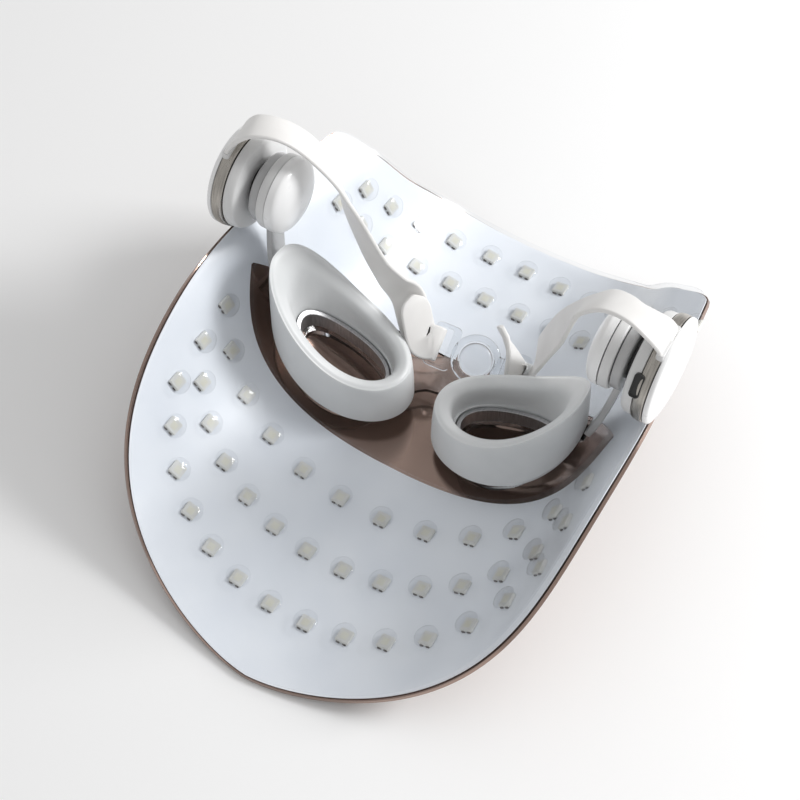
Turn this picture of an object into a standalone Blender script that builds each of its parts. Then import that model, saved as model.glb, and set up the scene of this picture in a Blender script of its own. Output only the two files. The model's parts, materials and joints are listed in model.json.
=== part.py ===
"""LED face mask: a tinted visor shield with an LED lining, temple pods, goggles and a head strap.

The mask lies on its convex front, so +Z points from the shield's midline towards the wearer's head.
+Y points from the chin to the forehead and +X to the side with the charging port. Sizes are in
millimetres here and are turned into metres when a mesh is made.
"""

import math

import bmesh
import bpy
import numpy as np
from mathutils import Matrix, Vector

MM = 0.001
RIGHT, LEFT = 1, -1
SIDES = (("left", LEFT), ("right", RIGHT))

# Shield section: the angle of its tangent is a polynomial of the arc length from the midline,
# and the section shrinks in proportion from the chin to the forehead.
ARC_UNIT = 62.0
BEND = (0.488, 0.69, -0.2778)
FLARE_ARC = 98.0
FLARE_ANGLE = 0.66
TAPER = 0.003
ARC_END = 115.0
FLAT_HALF_WIDTH = 5.0

# Shield outline, as the length station y at an arc length from the midline.
CHIN_TOP, CHIN_DEPTH = 24.7, 154.8
CHIN_ARC, CHIN_POWER, CHIN_ROUND = 106.2, 1.561, 0.513
SIDE_ARC, SIDE_SLOPE = 103.0, 4.5
TOP_EDGE = (
    (0, 79), (20, 78.5), (42, 76), (60, 71), (79, 62.5),
    (98, 56), (109, 53), (113.5, 50.8), (115, 49),
)

# Eye window in the lining.
WINDOW_ARC = 87.0
WINDOW_LOW, WINDOW_LOW_RISE, WINDOW_LOW_POWER = -36.5, 23.5, 3.0
WINDOW_HIGH, WINDOW_HIGH_DROP, WINDOW_HIGH_POWER = 16.0, 28.0, 3.0

# Layers, as offsets from the lining's reference surface towards the wearer.
SHELL_LAYER = (-2.4, 1.2)
BOARD_LAYER = (-0.8, 0.3)
STRIP_LOW, STRIP_HIGH, CHIP_HIGH = -0.1, 0.1, 0.9
LINER_LAYER = (1.3, 0.6)
FRAME_LAYER = (3.3, 1.6)
BOARD_INSET, LINER_INSET = 0.5, 0.3
STATIONS = 20

# LED rows: name, number of chips, pitch at the middle, how much the pitch shrinks towards the ends,
# then y = c0 + c1 u^2 + c2 u^4 with u = arc / ARC_UNIT.
LED_ROWS = (
    ("led_strip_cheek", 12, 17.0, 0.0022, (-57.0, 13.5, 0.1)),
    ("led_strip_jaw", 14, 14.5, 0.0024, (-80.7, 16.7, 1.4)),
    ("led_strip_chin", 14, 14.4, 0.0030, (-104.1, 18.0, 3.8)),
    ("led_strip_brow", 12, 14.7, 0.0006, (46.3, -13.9, 2.8)),
    ("led_strip_forehead", 15, 15.3, 0.0012, (66.0, -19.6, 2.9)),
)
CHIP_SIDE = 5.0
STRIP_HALF_WIDTH = 2.5

# The object's origin is below the middle of its box, on the surface that the shield lies on.
Y_SHIFT = 25.25
Z_SHIFT = 2.4

# Temple pods, turned about the tilt axis through (PIVOT_Y, PIVOT_Z).
# Stations are distances from the midplane.
PIVOT_Y, PIVOT_Z = -1.0, 75.5
POD_STEPS = 32
SMALL_STEPS = 24
POD_RADIUS = 18.5
CAP_RADIUS = 17.6
FACE_TOP, FACE_EDGE, FACE_BACK = 84.0, 82.3, 80.6
RIM_TOP, RIM_BACK = 80.3, 76.6
CAP_TOP, CAP_BACK = 76.3, 72.2
POD_WALL = 2.4
SHAFT_RADIUS, SHAFT_BORE, WASHER_RADIUS = 3.0, 3.08, 8.0
SHAFT_HEAD_RADIUS = 5.0
SHAFT_HEAD = (75.6, 74.3)
SHAFT_END = 66.6
INNER_BASE = (69.7, 66.3)
INNER_BASE_RADIUS = 12.4
INNER_RIM = (66.0, 62.6)
INNER_RIM_RADIUS = 13.6
DOME_EDGE, DOME_TOP = 62.3, 55.6
DOME_RADIUS, DOME_WALL = 13.8, 1.4
BATTERY = (64.6, 59.6)
BATTERY_RADIUS = 9.5
BUTTON_RADIUS, BUTTON_HOLE = 4.6, 4.9
SLOT_REACH, SLOT_LAYER, SLOT_ARCS = 22.0, (-2.9, 2.5), (84.0, 118.0)
NOTCH_HALF_THICK, NOTCH_PLAY, NOTCH_DEPTH, NOTCH_HEIGHT = 1.3, 0.4, 1.0, 12.0
BUTTON_TOP, BUTTON_BACK = 84.0, 80.2
SWITCH = (78.9, 77.6)
BOARD, BOARD_RADIUS = (79.6, 78.6), 11.0
PORT_ANGLE = 153.0
PORT_SIZE = (3.4, 8.4, 5.6)

# Eye cups, right side; the left one is its mirror image.
CUP_CENTRE = (33.0, -14.2)
CUP_POWER, CUP_FAR_POWER = 2.05, 2.7
CUP_STEPS = 36
CUP_BASE = (27.4, 18.4)
CUP_RIDGE = (26.6, 17.4)
CUP_LIP = (20.6, 12.0)
CUP_THROAT = (18.6, 11.2)
RIDGE_LOW, RIDGE_RISE, RIDGE_POWER = 24.5, 36.0, 2.1
BEZEL_OUTER, BEZEL_INNER, BEZEL_HEIGHT = (18.1, 10.7), (16.6, 9.3), 7.5
EYE_HOLE = (15.8, 8.6)
CUP_CLEARANCE = 0.8

# Goggle frame plate, which follows the shield: half arc to y.
FRAME_HIGH = ((0, 13), (6, 12), (13, 7), (22, 4.4), (40, 6.5), (52, 6), (60, 1), (66, -4), (76, -4))
FRAME_LOW = (
    (0, -3), (6, -5), (13, -14), (22, -28), (32, -32),
    (44, -31), (54, -26), (60, -19), (66, -12), (76, -12),
)

# Temple arms: centre line of the right one, from the frame's end up to the inner pod.
ARM_PATH = (
    (61.7, -8.0, 36.8), (62.7, -7.8, 40.0), (64.2, -6.8, 45.0),
    (65.6, -5.0, 51.0), (66.6, -3.0, 57.5), (67.2, -1.5, 61.6),
)
ARM_WIDTH, ARM_THICK = 8.0, 2.4

# Head strap: centre line and the direction of the width at each point, from pod to buckle.
STRAP_WIDTH, STRAP_THICK = 12.5, 1.6
STRAP_LEFT = (
    ((-79.5, -3.2, 88.5), (0, 1, 0)),
    ((-79.2, -3.2, 94.5), (-0.05, 1, -0.05)),
    ((-76.0, -1.9, 99.8), (-0.3, 0.93, -0.2)),
    ((-71.5, -0.6, 102.8), (-0.42, 0.88, -0.2)),
    ((-65.5, 1.8, 102.4), (-0.48, 0.84, -0.2)),
    ((-59.8, 5.0, 98.0), (-0.46, 0.86, -0.18)),
    ((-54.0, 7.6, 91.0), (-0.45, 0.88, -0.18)),
    ((-48.5, 8.3, 83.5), (-0.55, 0.78, -0.28)),
    ((-44.5, 7.7, 76.5), (-0.68, 0.63, -0.37)),
    ((-40.5, 7.5, 67.5), (-0.82, 0.42, -0.37)),
    ((-36.5, 8.0, 57.5), (-0.88, 0.3, -0.35)),
    ((-32.0, 8.6, 47.5), (-0.9, 0.15, -0.4)),
    ((-26.5, 9.4, 39.5), (-0.8, -0.15, -0.55)),
    ((-21.0, 11.2, 31.5), (-0.5, -0.55, -0.65)),
)
STRAP_RIGHT = (
    ((79.5, -3.8, 88.5), (0, 1, 0)),
    ((79.0, -4.4, 94.5), (0, 1, 0)),
    ((75.3, -6.6, 100.3), (-0.15, 0.97, -0.1)),
    ((69.3, -7.0, 103.4), (0.05, 0.93, -0.36)),
    ((62.5, -5.9, 103.0), (0.17, 0.95, -0.26)),
    ((57.3, -5.3, 100.4), (0.18, 0.97, -0.13)),
    ((52.4, -5.1, 94.5), (0.17, 0.97, -0.05)),
    ((48.6, -4.2, 86.0), (-0.1, 0.97, 0.1)),
    ((44.2, -2.9, 75.0), (-0.38, 0.87, 0.28)),
    ((40.0, -1.0, 63.0), (-0.42, 0.85, 0.32)),
    ((36.0, 1.2, 50.0), (-0.38, 0.86, 0.34)),
    ((33.5, 6.4, 40.0), (-0.25, 0.8, 0.5)),
    ((31.8, 10.4, 32.0), (-0.12, 0.75, 0.6)),
    ((30.6, 13.0, 24.5), (-0.08, 0.83, 0.53)),
)
TAIL_LEFT = ((-18.5, 10.0, 36.0), (0.065, -0.85, -0.51))
TAIL_RIGHT = ((15.6, 13.3, 37.0), (-0.8, 0.5, -0.3))
TAIL_SHARES = (0.62, 0.86, 0.96)
STRAP_STEPS = 3

# Buckle, in its own frame: x along the strap, y along the bars, z out of its face.
BUCKLE_CENTRE = (8.2, 9.7, 15.8)
BUCKLE_FACE = (0.285, -0.479, 0.83)
BUCKLE_ALONG = (0.95, 0.20, -0.21)
RING_RADIUS, RING_HOLE, RING_THICK = 9.2, 6.6, 4.0
BUCKLE_BUTTON_RADIUS = 6.2
BAR_REACH, BAR_SIZE, BAR_GAP = 17.0, 2.0, 2.9
LATCH_SHIFT = 1.4
LOOP_LENGTH, LOOP_WIDTH, LOOP_THICK = 10.0, 16.6, 2.4

MATERIALS = {
    "bronze_tint": ((0.20, 0.11, 0.07), 0.08, 0.6),
    "white_board": ((0.90, 0.91, 0.93), 0.5, 0.0),
    "led_strip": ((0.86, 0.84, 0.76), 0.5, 0.0),
    "clear_plastic": ((0.85, 0.90, 0.96), 0.1, 0.0),
    "white_plastic": ((0.93, 0.93, 0.93), 0.35, 0.0),
    "champagne_metal": ((0.55, 0.52, 0.48), 0.3, 1.0),
    "light_grey_plastic": ((0.78, 0.78, 0.77), 0.4, 0.0),
    "grey_translucent": ((0.55, 0.55, 0.55), 0.3, 0.0),
    "grey_silicone": ((0.78, 0.79, 0.79), 0.55, 0.0),
    "white_silicone": ((0.86, 0.85, 0.83), 0.5, 0.0),
    "steel": ((0.6, 0.6, 0.62), 0.3, 1.0),
    "silver_trim": ((0.75, 0.75, 0.76), 0.25, 0.8),
    "black_plastic": ((0.03, 0.03, 0.03), 0.4, 0.0),
    "green_board": ((0.05, 0.25, 0.12), 0.5, 0.0),
    "battery_wrap": ((0.15, 0.25, 0.45), 0.4, 0.0),
}


def clear_scene():
    for obj in list(bpy.data.objects):
        bpy.data.objects.remove(obj, do_unlink=True)


def new_collection(name):
    collection = bpy.data.collections.new(name)
    bpy.context.scene.collection.children.link(collection)
    return collection


def make_material(name):
    colour, roughness, metallic = MATERIALS[name]
    material = bpy.data.materials.new(name)
    material.use_nodes = True
    shader = material.node_tree.nodes["Principled BSDF"]
    shader.inputs["Base Color"].default_value = (*colour, 1.0)
    shader.inputs["Roughness"].default_value = roughness
    shader.inputs["Metallic"].default_value = metallic
    return material


clear_scene()
PARTS = new_collection("led_face_mask")
CUTTERS = new_collection("cutters")
MATERIAL_OF = {name: make_material(name) for name in MATERIALS}


def place(point):
    """A point of the mask's frame, in millimetres, as a world point in metres."""
    return Vector((point[0] * MM, (point[1] + Y_SHIFT) * MM, (point[2] + Z_SHIFT) * MM))


def add_mesh(name, verts, faces, material=None):
    """A mesh object with its faces turned outwards. Without a material it is a cutter."""
    mesh = bpy.data.meshes.new(name)
    mesh.from_pydata([tuple(v) for v in verts], [], faces)
    build = bmesh.new()
    build.from_mesh(mesh)
    bmesh.ops.recalc_face_normals(build, faces=build.faces)
    build.to_mesh(mesh)
    build.free()
    return add_object(name, mesh, material)


def add_object(name, mesh, material=None):
    obj = bpy.data.objects.new(name, mesh)
    if material is None:
        CUTTERS.objects.link(obj)
        obj.hide_render = True
        obj.display_type = "WIRE"
    else:
        PARTS.objects.link(obj)
        mesh.materials.append(MATERIAL_OF[material])
        mesh.shade_smooth()
        mesh.set_sharp_from_angle(angle=math.radians(35))
    return obj


def boolean(obj, other, operation):
    modifier = obj.modifiers.new(operation.title() + "_" + other.name, "BOOLEAN")
    modifier.operation = operation
    modifier.solver = "EXACT"
    modifier.object = other
    return modifier


def catmull(points, steps):
    """A smooth curve through the points, with a number of steps on each span."""
    points = np.asarray(points, float)
    padded = np.vstack([2 * points[0] - points[1], points, 2 * points[-1] - points[-2]])
    out = []
    for i in range(1, len(padded) - 2):
        a, b, c, d = padded[i - 1 : i + 3]
        for step in range(steps):
            t = step / steps
            square = (2 * a - 5 * b + 4 * c - d) * t**2
            cube = (3 * b - a - 3 * c + d) * t**3
            out.append(0.5 * (2 * b + (c - a) * t + square + cube))
    out.append(points[-1])
    return np.array(out)


def profile_value(points, at):
    """The height at a half arc on a smooth curve through an outline's points."""
    curve = catmull(points, 6)
    return float(np.interp(abs(at), curve[:, 0], curve[:, 1]))


# ---------------------------------------------------------------- the shield's surface


def tangent_angle(arc):
    u = np.asarray(arc) / ARC_UNIT
    angle = BEND[0] * u + BEND[1] * u**3 + BEND[2] * u**5
    angle = np.where(np.asarray(arc) > FLARE_ARC, np.maximum(angle, FLARE_ANGLE), angle)
    return np.where(np.asarray(arc) > FLAT_HALF_WIDTH, angle, 0.0)


ARCS = np.linspace(0, 125, 501)
ANGLES = tangent_angle(ARCS)
STEP = ARCS[1] - ARCS[0]
SECTION_X = np.concatenate([[0], np.cumsum((np.cos(ANGLES[1:]) + np.cos(ANGLES[:-1])) / 2 * STEP)])
SECTION_Z = np.concatenate([[0], np.cumsum((np.sin(ANGLES[1:]) + np.sin(ANGLES[:-1])) / 2 * STEP)])


def section_scale(y):
    return 1 - TAPER * y


def shell_point(arc, y, offset=0.0):
    """A point on the shield's surface at a signed arc length, moved along the normal by the offset."""
    side = -1 if arc < 0 else 1
    x = float(np.interp(abs(arc), ARCS, SECTION_X))
    z = float(np.interp(abs(arc), ARCS, SECTION_Z))
    angle = float(np.interp(abs(arc), ARCS, ANGLES))
    scale = section_scale(y)
    lean = TAPER * (z * math.cos(angle) - x * math.sin(angle))
    normal = np.array([-math.sin(angle), lean, math.cos(angle)])
    normal /= np.linalg.norm(normal)
    point = np.array([x * scale, y, z * scale]) + offset * normal
    point[0] *= side
    return point


def height_over(x, y, offset=0.0):
    """Height of the surface with this offset, above a place in plan."""
    scale = section_scale(y)
    arc = float(np.interp(abs(x) / scale, SECTION_X, ARCS))
    rise = float(np.interp(arc, ARCS, SECTION_Z)) * scale
    return rise + offset / math.cos(float(np.interp(arc, ARCS, ANGLES)))


def edge_low(arc, inset=0.0):
    arc = min(abs(arc) + inset, ARC_END)
    if arc > SIDE_ARC:
        at_side = edge_low(SIDE_ARC)
        return at_side + SIDE_SLOPE * (arc - SIDE_ARC) + inset
    root = (1 - (arc / CHIN_ARC) ** CHIN_POWER) ** CHIN_ROUND
    return CHIN_TOP - CHIN_DEPTH * root + inset


def edge_high(arc, inset=0.0):
    return profile_value(TOP_EDGE, min(abs(arc) + inset, ARC_END)) - inset


def window_low(arc):
    return WINDOW_LOW + WINDOW_LOW_RISE * (abs(arc) / WINDOW_ARC) ** WINDOW_LOW_POWER


def window_high(arc):
    return WINDOW_HIGH - WINDOW_HIGH_DROP * (abs(arc) / WINDOW_ARC) ** WINDOW_HIGH_POWER


def sheet_columns(arc_end):
    """Signed arc stations, closer together towards the sides, with a flat facet along the midline."""
    half = [arc_end * math.sin(math.pi / 2 * i / STATIONS) for i in range(1, STATIONS + 1)]
    near_window = min(range(len(half)), key=lambda i: abs(half[i] - WINDOW_ARC))
    half[near_window] = WINDOW_ARC
    half[0] = FLAT_HALF_WIDTH
    return [-arc for arc in reversed(half)] + half


def sheet_rows(arc, inset):
    """The four y stations of a column: lower edge, the window's two edges and the upper edge."""
    low, high = edge_low(arc, inset), edge_high(arc, inset)
    if abs(arc) <= WINDOW_ARC:
        return low, window_low(arc), window_high(arc), high
    corner_low, corner_high = edge_low(WINDOW_ARC, inset), edge_high(WINDOW_ARC, inset)
    window = [low]
    for edge in (window_low, window_high):
        share = (edge(WINDOW_ARC) - corner_low) / (corner_high - corner_low)
        window.append(low + share * (high - low))
    return (*window, high)


def sheet(name, layer, inset, window, material):
    """A sheet that follows the shield, with or without the eye window."""
    columns = sheet_columns(ARC_END - inset)
    verts = [place(shell_point(arc, y, layer[0])) for arc in columns for y in sheet_rows(arc, inset)]
    faces = []
    for i in range(len(columns) - 1):
        for row in range(3):
            inside = abs(columns[i]) <= WINDOW_ARC and abs(columns[i + 1]) <= WINDOW_ARC
            if window and row == 1 and inside:
                continue
            a = i * 4 + row
            faces.append((a, a + 4, a + 5, a + 1))
    mesh = bpy.data.meshes.new(name)
    mesh.from_pydata([tuple(v) for v in verts], [], faces)
    obj = add_object(name, mesh, material)
    solidify = obj.modifiers.new("Thickness", "SOLIDIFY")
    solidify.thickness = layer[1] * MM
    solidify.offset = 1
    solidify.use_even_offset = True
    return obj


# ---------------------------------------------------------------- shape helpers


def loft(name, sections, material=None, closed=False):
    """A closed body through rings of points, with flat ends or joined end to end."""
    count = len(sections[0])
    verts = [place(point) for section in sections for point in section]
    faces = []
    for i in range(len(sections) if closed else len(sections) - 1):
        here, after = i * count, (i + 1) % len(sections) * count
        for j in range(count):
            k = (j + 1) % count
            faces.append((here + j, here + k, after + k, after + j))
    if not closed:
        last = (len(sections) - 1) * count
        faces.append(tuple(reversed(range(count))))
        faces.append(tuple(range(last, last + count)))
    return add_mesh(name, verts, faces, material)


def ribbon_sections(centres, widths, width, thick, end_shares=()):
    """Four-cornered sections of a flat band along a centre line, narrowed to the given shares at its end."""
    centres = np.asarray(centres, float)
    tangents = np.gradient(centres, axis=0)
    shares = [1.0] * (len(centres) - len(end_shares)) + list(reversed(end_shares))
    sections = []
    for centre, tangent, across, share in zip(centres, tangents, widths, shares):
        tangent = tangent / np.linalg.norm(tangent)
        across = np.asarray(across, float)
        across = across - across.dot(tangent) * tangent
        across /= np.linalg.norm(across)
        normal = np.cross(tangent, across)
        sections.append([centre + a * across * share * width / 2 + n * normal * thick / 2
                         for a, n in ((-1, -1), (1, -1), (1, 1), (-1, 1))])
    return sections


def turned(name, profile, side, material=None, centre=(PIVOT_Y, PIVOT_Z), steps=POD_STEPS):
    """A body turned about a line along X. The profile is (distance from the midplane, radius), run down its
    outer side from the outermost point, and back up its inner side where it is hollow."""
    hollow = profile[0][1] > 0
    verts = [(radius * MM, 0, (station - profile[-1][0]) * MM) for station, radius in profile]
    edges = [(i, i + 1) for i in range(len(verts) - 1)]
    if hollow:
        edges.append((len(verts) - 1, 0))
    mesh = bpy.data.meshes.new(name)
    mesh.from_pydata(verts, edges, [])
    obj = add_object(name, mesh, material)
    obj.location = place((side * profile[-1][0], *centre))
    obj.rotation_euler = (0, side * math.pi / 2, 0)
    screw = obj.modifiers.new("Turn", "SCREW")
    screw.axis = "Z"
    screw.steps = screw.render_steps = steps
    screw.use_merge_vertices = True
    screw.merge_threshold = 0.00001
    return obj


def box(name, low, high, material=None):
    """A block between two corners of the mask's frame."""
    low, high = np.minimum(low, high), np.maximum(low, high)
    corners = [(x, y, z) for x in (low[0], high[0]) for y in (low[1], high[1]) for z in (low[2], high[2])]
    faces = [(0, 1, 3, 2), (4, 6, 7, 5), (0, 4, 5, 1), (2, 3, 7, 6), (0, 2, 6, 4), (1, 5, 7, 3)]
    return add_mesh(name, [place(c) for c in corners], faces, material)


def oval(half, centre, far_power=CUP_POWER):
    """Points of a superellipse in plan. Its quarter towards temple and forehead can be squarer."""
    points = []
    for i in range(CUP_STEPS):
        t = 2 * math.pi * i / CUP_STEPS
        c, s = math.cos(t), math.sin(t)
        power = 2 / (far_power if s > 0 and c > 0 else CUP_POWER)
        points.append((centre[0] + half[0] * math.copysign(abs(c) ** power, c),
                       centre[1] + half[1] * math.copysign(abs(s) ** power, s)))
    return points


# ---------------------------------------------------------------- shield and lining


def chip_arc(index, count, pitch, shrink):
    """Arc place of a chip in its row."""
    step = index - (count - 1) / 2
    return pitch * step * (1 - shrink * step**2)


def led_strip(name, count, pitch, shrink, curve, material="led_strip"):
    """A flexible circuit strip with a row of square chips standing on it."""
    half_chip, edge = CHIP_SIDE / 2, 0.02
    stations = []
    for i in range(count):
        at = chip_arc(i, count, pitch, shrink)
        stations += [(at - half_chip - edge, STRIP_HIGH), (at - half_chip, CHIP_HIGH),
                     (at + half_chip, CHIP_HIGH), (at + half_chip + edge, STRIP_HIGH)]
        if i < count - 1:
            stations.append(((at + chip_arc(i + 1, count, pitch, shrink)) / 2, STRIP_HIGH))
    first, last = stations[0][0] - 0.8, stations[-1][0] + 0.8
    stations = [(first, STRIP_HIGH)] + stations + [(last, STRIP_HIGH)]
    sections = []
    for arc, high in stations:
        u = arc / ARC_UNIT
        y = curve[0] + curve[1] * u**2 + curve[2] * u**4
        corners = ((-1, STRIP_LOW), (1, STRIP_LOW), (1, high), (-1, high))
        section = []
        for a, h in corners:
            edge_y = y + a * STRIP_HALF_WIDTH
            section.append(shell_point(arc / section_scale(edge_y), edge_y, h))
        sections.append(section)
    return loft(name, sections, material)


def build_shield():
    sheet("outer_shell", SHELL_LAYER, 0.0, False, "bronze_tint")
    sheet("led_board", BOARD_LAYER, BOARD_INSET, True, "white_board")
    sheet("inner_liner", LINER_LAYER, LINER_INSET, True, "clear_plastic")
    for row in LED_ROWS:
        led_strip(*row)


# ---------------------------------------------------------------- temple pods


def shell_slot():
    """Cutter for the slot in which the pods grip the shield's side edge."""
    sections = []
    below, above = PIVOT_Y - SLOT_REACH, PIVOT_Y + SLOT_REACH
    low, high = SLOT_LAYER
    for arc in np.linspace(*SLOT_ARCS, 12):
        corners = ((below, low), (above, low), (above, high), (below, high))
        sections.append([shell_point(arc / section_scale(y), y, h) for y, h in corners])
    return sections


def build_pod(word, side, slot_cutter):
    """Outer pod: face disc, metal rim band and inner cap, gripping the shield's edge and the strap."""
    face_profile = (
        (FACE_TOP, 0), (FACE_TOP - 0.25, 9), (FACE_TOP - 0.8, 14.5),
        (FACE_EDGE, POD_RADIUS - 0.5), (FACE_EDGE - 0.6, POD_RADIUS - 0.1),
        (FACE_BACK, POD_RADIUS - 0.1), (FACE_BACK, 0),
    )
    rim_profile = (
        (RIM_TOP, POD_RADIUS - 0.1), (RIM_TOP - 1.5, POD_RADIUS), (RIM_BACK + 0.6, POD_RADIUS - 0.3),
        (RIM_BACK, POD_RADIUS - 0.6), (RIM_BACK, POD_RADIUS - POD_WALL), (RIM_TOP, POD_RADIUS - POD_WALL),
    )
    cap_profile = (
        (CAP_TOP, CAP_RADIUS), (CAP_BACK + 1.6, CAP_RADIUS - 0.2),
        (CAP_BACK + 0.5, CAP_RADIUS - 0.8), (CAP_BACK, CAP_RADIUS - 2),
        (CAP_BACK, SHAFT_BORE), (CAP_BACK + 1.5, SHAFT_BORE),
        (CAP_BACK + 1.5, CAP_RADIUS - POD_WALL), (CAP_TOP, CAP_RADIUS - POD_WALL),
    )
    face = turned("pod_face_" + word, face_profile, side, "white_plastic")
    rim = turned("pod_rim_" + word, rim_profile, side, "champagne_metal")
    cap = turned("pod_inner_cap_" + word, cap_profile, side, "light_grey_plastic")
    root_x, root_y, root_z = (STRAP_RIGHT if side > 0 else STRAP_LEFT)[0][0]
    half_width = STRAP_WIDTH / 2 + NOTCH_PLAY
    notch = box("cut_strap_slot_" + word,
                (root_x - NOTCH_HALF_THICK, root_y - half_width, root_z - NOTCH_DEPTH),
                (root_x + NOTCH_HALF_THICK, root_y + half_width, root_z + NOTCH_HEIGHT))
    for piece in (face, rim, cap):
        boolean(piece, slot_cutter, "DIFFERENCE")
    for piece in (rim, cap):
        boolean(piece, notch, "DIFFERENCE")
    return face, rim, cap


def build_pivot(word, side):
    """Headed shaft held in the outer pod, and the friction washer between the two pods."""
    shaft_profile = (
        (SHAFT_HEAD[0], 0), (SHAFT_HEAD[0], SHAFT_HEAD_RADIUS), (SHAFT_HEAD[1], SHAFT_HEAD_RADIUS),
        (SHAFT_HEAD[1], SHAFT_RADIUS), (SHAFT_END, SHAFT_RADIUS), (SHAFT_END, 0),
    )
    outer, inner = CAP_BACK - 0.3, INNER_BASE[0] + 0.3
    washer_profile = ((outer, WASHER_RADIUS), (inner, WASHER_RADIUS),
                      (inner, SHAFT_BORE + 0.1), (outer, SHAFT_BORE + 0.1))
    turned("pivot_shaft_" + word, shaft_profile, side, "steel", steps=SMALL_STEPS)
    turned("friction_washer_" + word, washer_profile, side, "black_plastic", steps=SMALL_STEPS)


def build_inner_pod(word, side):
    """Inner pod on the goggles: a bored base, a rim band, a battery cell and a rounded cover."""
    base_profile = (
        (INNER_BASE[0], INNER_BASE_RADIUS - 0.6), (INNER_BASE[0] - 0.6, INNER_BASE_RADIUS),
        (INNER_BASE[1], INNER_BASE_RADIUS), (INNER_BASE[1], SHAFT_BORE), (INNER_BASE[0], SHAFT_BORE),
    )
    rim_profile = (
        (INNER_RIM[0], INNER_RIM_RADIUS - 0.3), (INNER_RIM[0] - 0.8, INNER_RIM_RADIUS),
        (INNER_RIM[1], INNER_RIM_RADIUS), (INNER_RIM[1], INNER_RIM_RADIUS - 2.2),
        (INNER_RIM[0], INNER_RIM_RADIUS - 2.2),
    )
    cell_profile = ((BATTERY[0], 0), (BATTERY[0], BATTERY_RADIUS),
                    (BATTERY[1], BATTERY_RADIUS), (BATTERY[1], 0))
    turned("inner_pod_base_" + word, base_profile, side, "grey_translucent", steps=SMALL_STEPS)
    turned("inner_pod_rim_" + word, rim_profile, side, "light_grey_plastic", steps=SMALL_STEPS)
    turned("battery_cell_" + word, cell_profile, side, "battery_wrap", steps=SMALL_STEPS)
    bulge = []
    for degrees in (90, 70, 50, 30, 14):
        a = math.radians(degrees)
        rise = (DOME_EDGE - 2 - DOME_TOP) * (1 - math.cos(a))
        bulge.append((DOME_TOP + rise, (DOME_RADIUS - 0.2) * math.sin(a)))
    hollow = [(station + DOME_WALL, radius * 0.9) for station, radius in reversed(bulge)]
    profile = [(DOME_EDGE, DOME_RADIUS)] + bulge + [(DOME_TOP, 0), (DOME_TOP + DOME_WALL, 0)] + hollow
    profile.append((DOME_EDGE, hollow[-1][1]))
    hollow_dome("inner_pod_dome_" + word, profile, side)


def hollow_dome(name, profile, side):
    """A hollow cap: both of its surfaces cross the axis, so it is turned from an open profile."""
    steps = SMALL_STEPS
    rings = [p for p in profile if p[1] > 0]
    split = next(i for i, p in enumerate(profile) if p[1] == 0)
    verts, faces = [], []
    for station, radius in rings:
        for i in range(steps):
            a = 2 * math.pi * i / steps
            y, z = PIVOT_Y + radius * math.cos(a), PIVOT_Z + radius * math.sin(a)
            verts.append(place((side * station, y, z)))
    poles = [len(verts), len(verts) + 1]
    verts += [place((side * profile[i][0], PIVOT_Y, PIVOT_Z)) for i in (split, split + 1)]
    for r in range(len(rings)):
        after = (r + 1) % len(rings)
        if r == split - 1:
            continue
        for i in range(steps):
            k = (i + 1) % steps
            faces.append((r * steps + i, r * steps + k, after * steps + k, after * steps + i))
    for i in range(steps):
        k = (i + 1) % steps
        faces.append(((split - 1) * steps + i, (split - 1) * steps + k, poles[0]))
        faces.append((split * steps + i, split * steps + k, poles[1]))
    return add_mesh(name, verts, faces, "white_plastic")


def build_electronics(rim_right, cap_right, face_left):
    """Control board and charging port on the right, power button and its switch on the left."""
    angle = math.radians(PORT_ANGLE)
    outward = Vector((0, math.cos(angle), math.sin(angle)))
    along = Vector((0, math.sin(angle), -math.cos(angle)))
    middle = place((CAP_TOP + 0.15, PIVOT_Y, PIVOT_Z)) + outward * (POD_RADIUS - 2.9) * MM
    turn = Matrix((Vector((1, 0, 0)), along, outward)).transposed().to_4x4()
    for name, grow, material in (("usb_port", 0.0, "black_plastic"), ("cut_usb_port", 0.35, None)):
        build = bmesh.new()
        bmesh.ops.create_cube(build, size=1)
        size = Vector([(side + 2 * grow) * MM for side in PORT_SIZE])
        bmesh.ops.scale(build, vec=size, verts=build.verts)
        bmesh.ops.transform(build, matrix=Matrix.Translation(middle) @ turn, verts=build.verts)
        mesh = bpy.data.meshes.new(name)
        build.to_mesh(mesh)
        build.free()
        obj = add_object(name, mesh, material)
    for piece in (rim_right, cap_right):
        boolean(piece, obj, "DIFFERENCE")
    board_profile = ((BOARD[0], 0), (BOARD[0], BOARD_RADIUS), (BOARD[1], BOARD_RADIUS), (BOARD[1], 0))
    hole_profile = (
        (FACE_TOP + 2, 0), (FACE_TOP + 2, BUTTON_HOLE), (FACE_BACK - 2, BUTTON_HOLE), (FACE_BACK - 2, 0),
    )
    button_profile = (
        (BUTTON_TOP, 0), (BUTTON_TOP, BUTTON_RADIUS - 0.6), (BUTTON_TOP - 0.5, BUTTON_RADIUS),
        (BUTTON_BACK, BUTTON_RADIUS), (BUTTON_BACK, 0),
    )
    switch_profile = ((SWITCH[0], 0), (SWITCH[0], 3), (SWITCH[1], 3.4), (SWITCH[1], 0))
    turned("control_board", board_profile, RIGHT, "green_board", steps=SMALL_STEPS)
    boolean(face_left, turned("cut_button_hole", hole_profile, LEFT), "DIFFERENCE")
    turned("power_button", button_profile, LEFT, "silver_trim")
    turned("button_switch", switch_profile, LEFT, "black_plastic", steps=16)


# ---------------------------------------------------------------- goggles


def ridge_height(x):
    share = max(abs(x) - (CUP_CENTRE[0] - CUP_BASE[0]), 0) / (2 * CUP_BASE[0])
    return RIDGE_LOW + RIDGE_RISE * share**RIDGE_POWER


def cup_ring(half, height, far_power=CUP_POWER):
    """Points of one ring of the right cup, with a height that depends on the place in plan."""
    return [(x, y, height(x, y)) for x, y in oval(half, CUP_CENTRE, far_power)]


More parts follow.
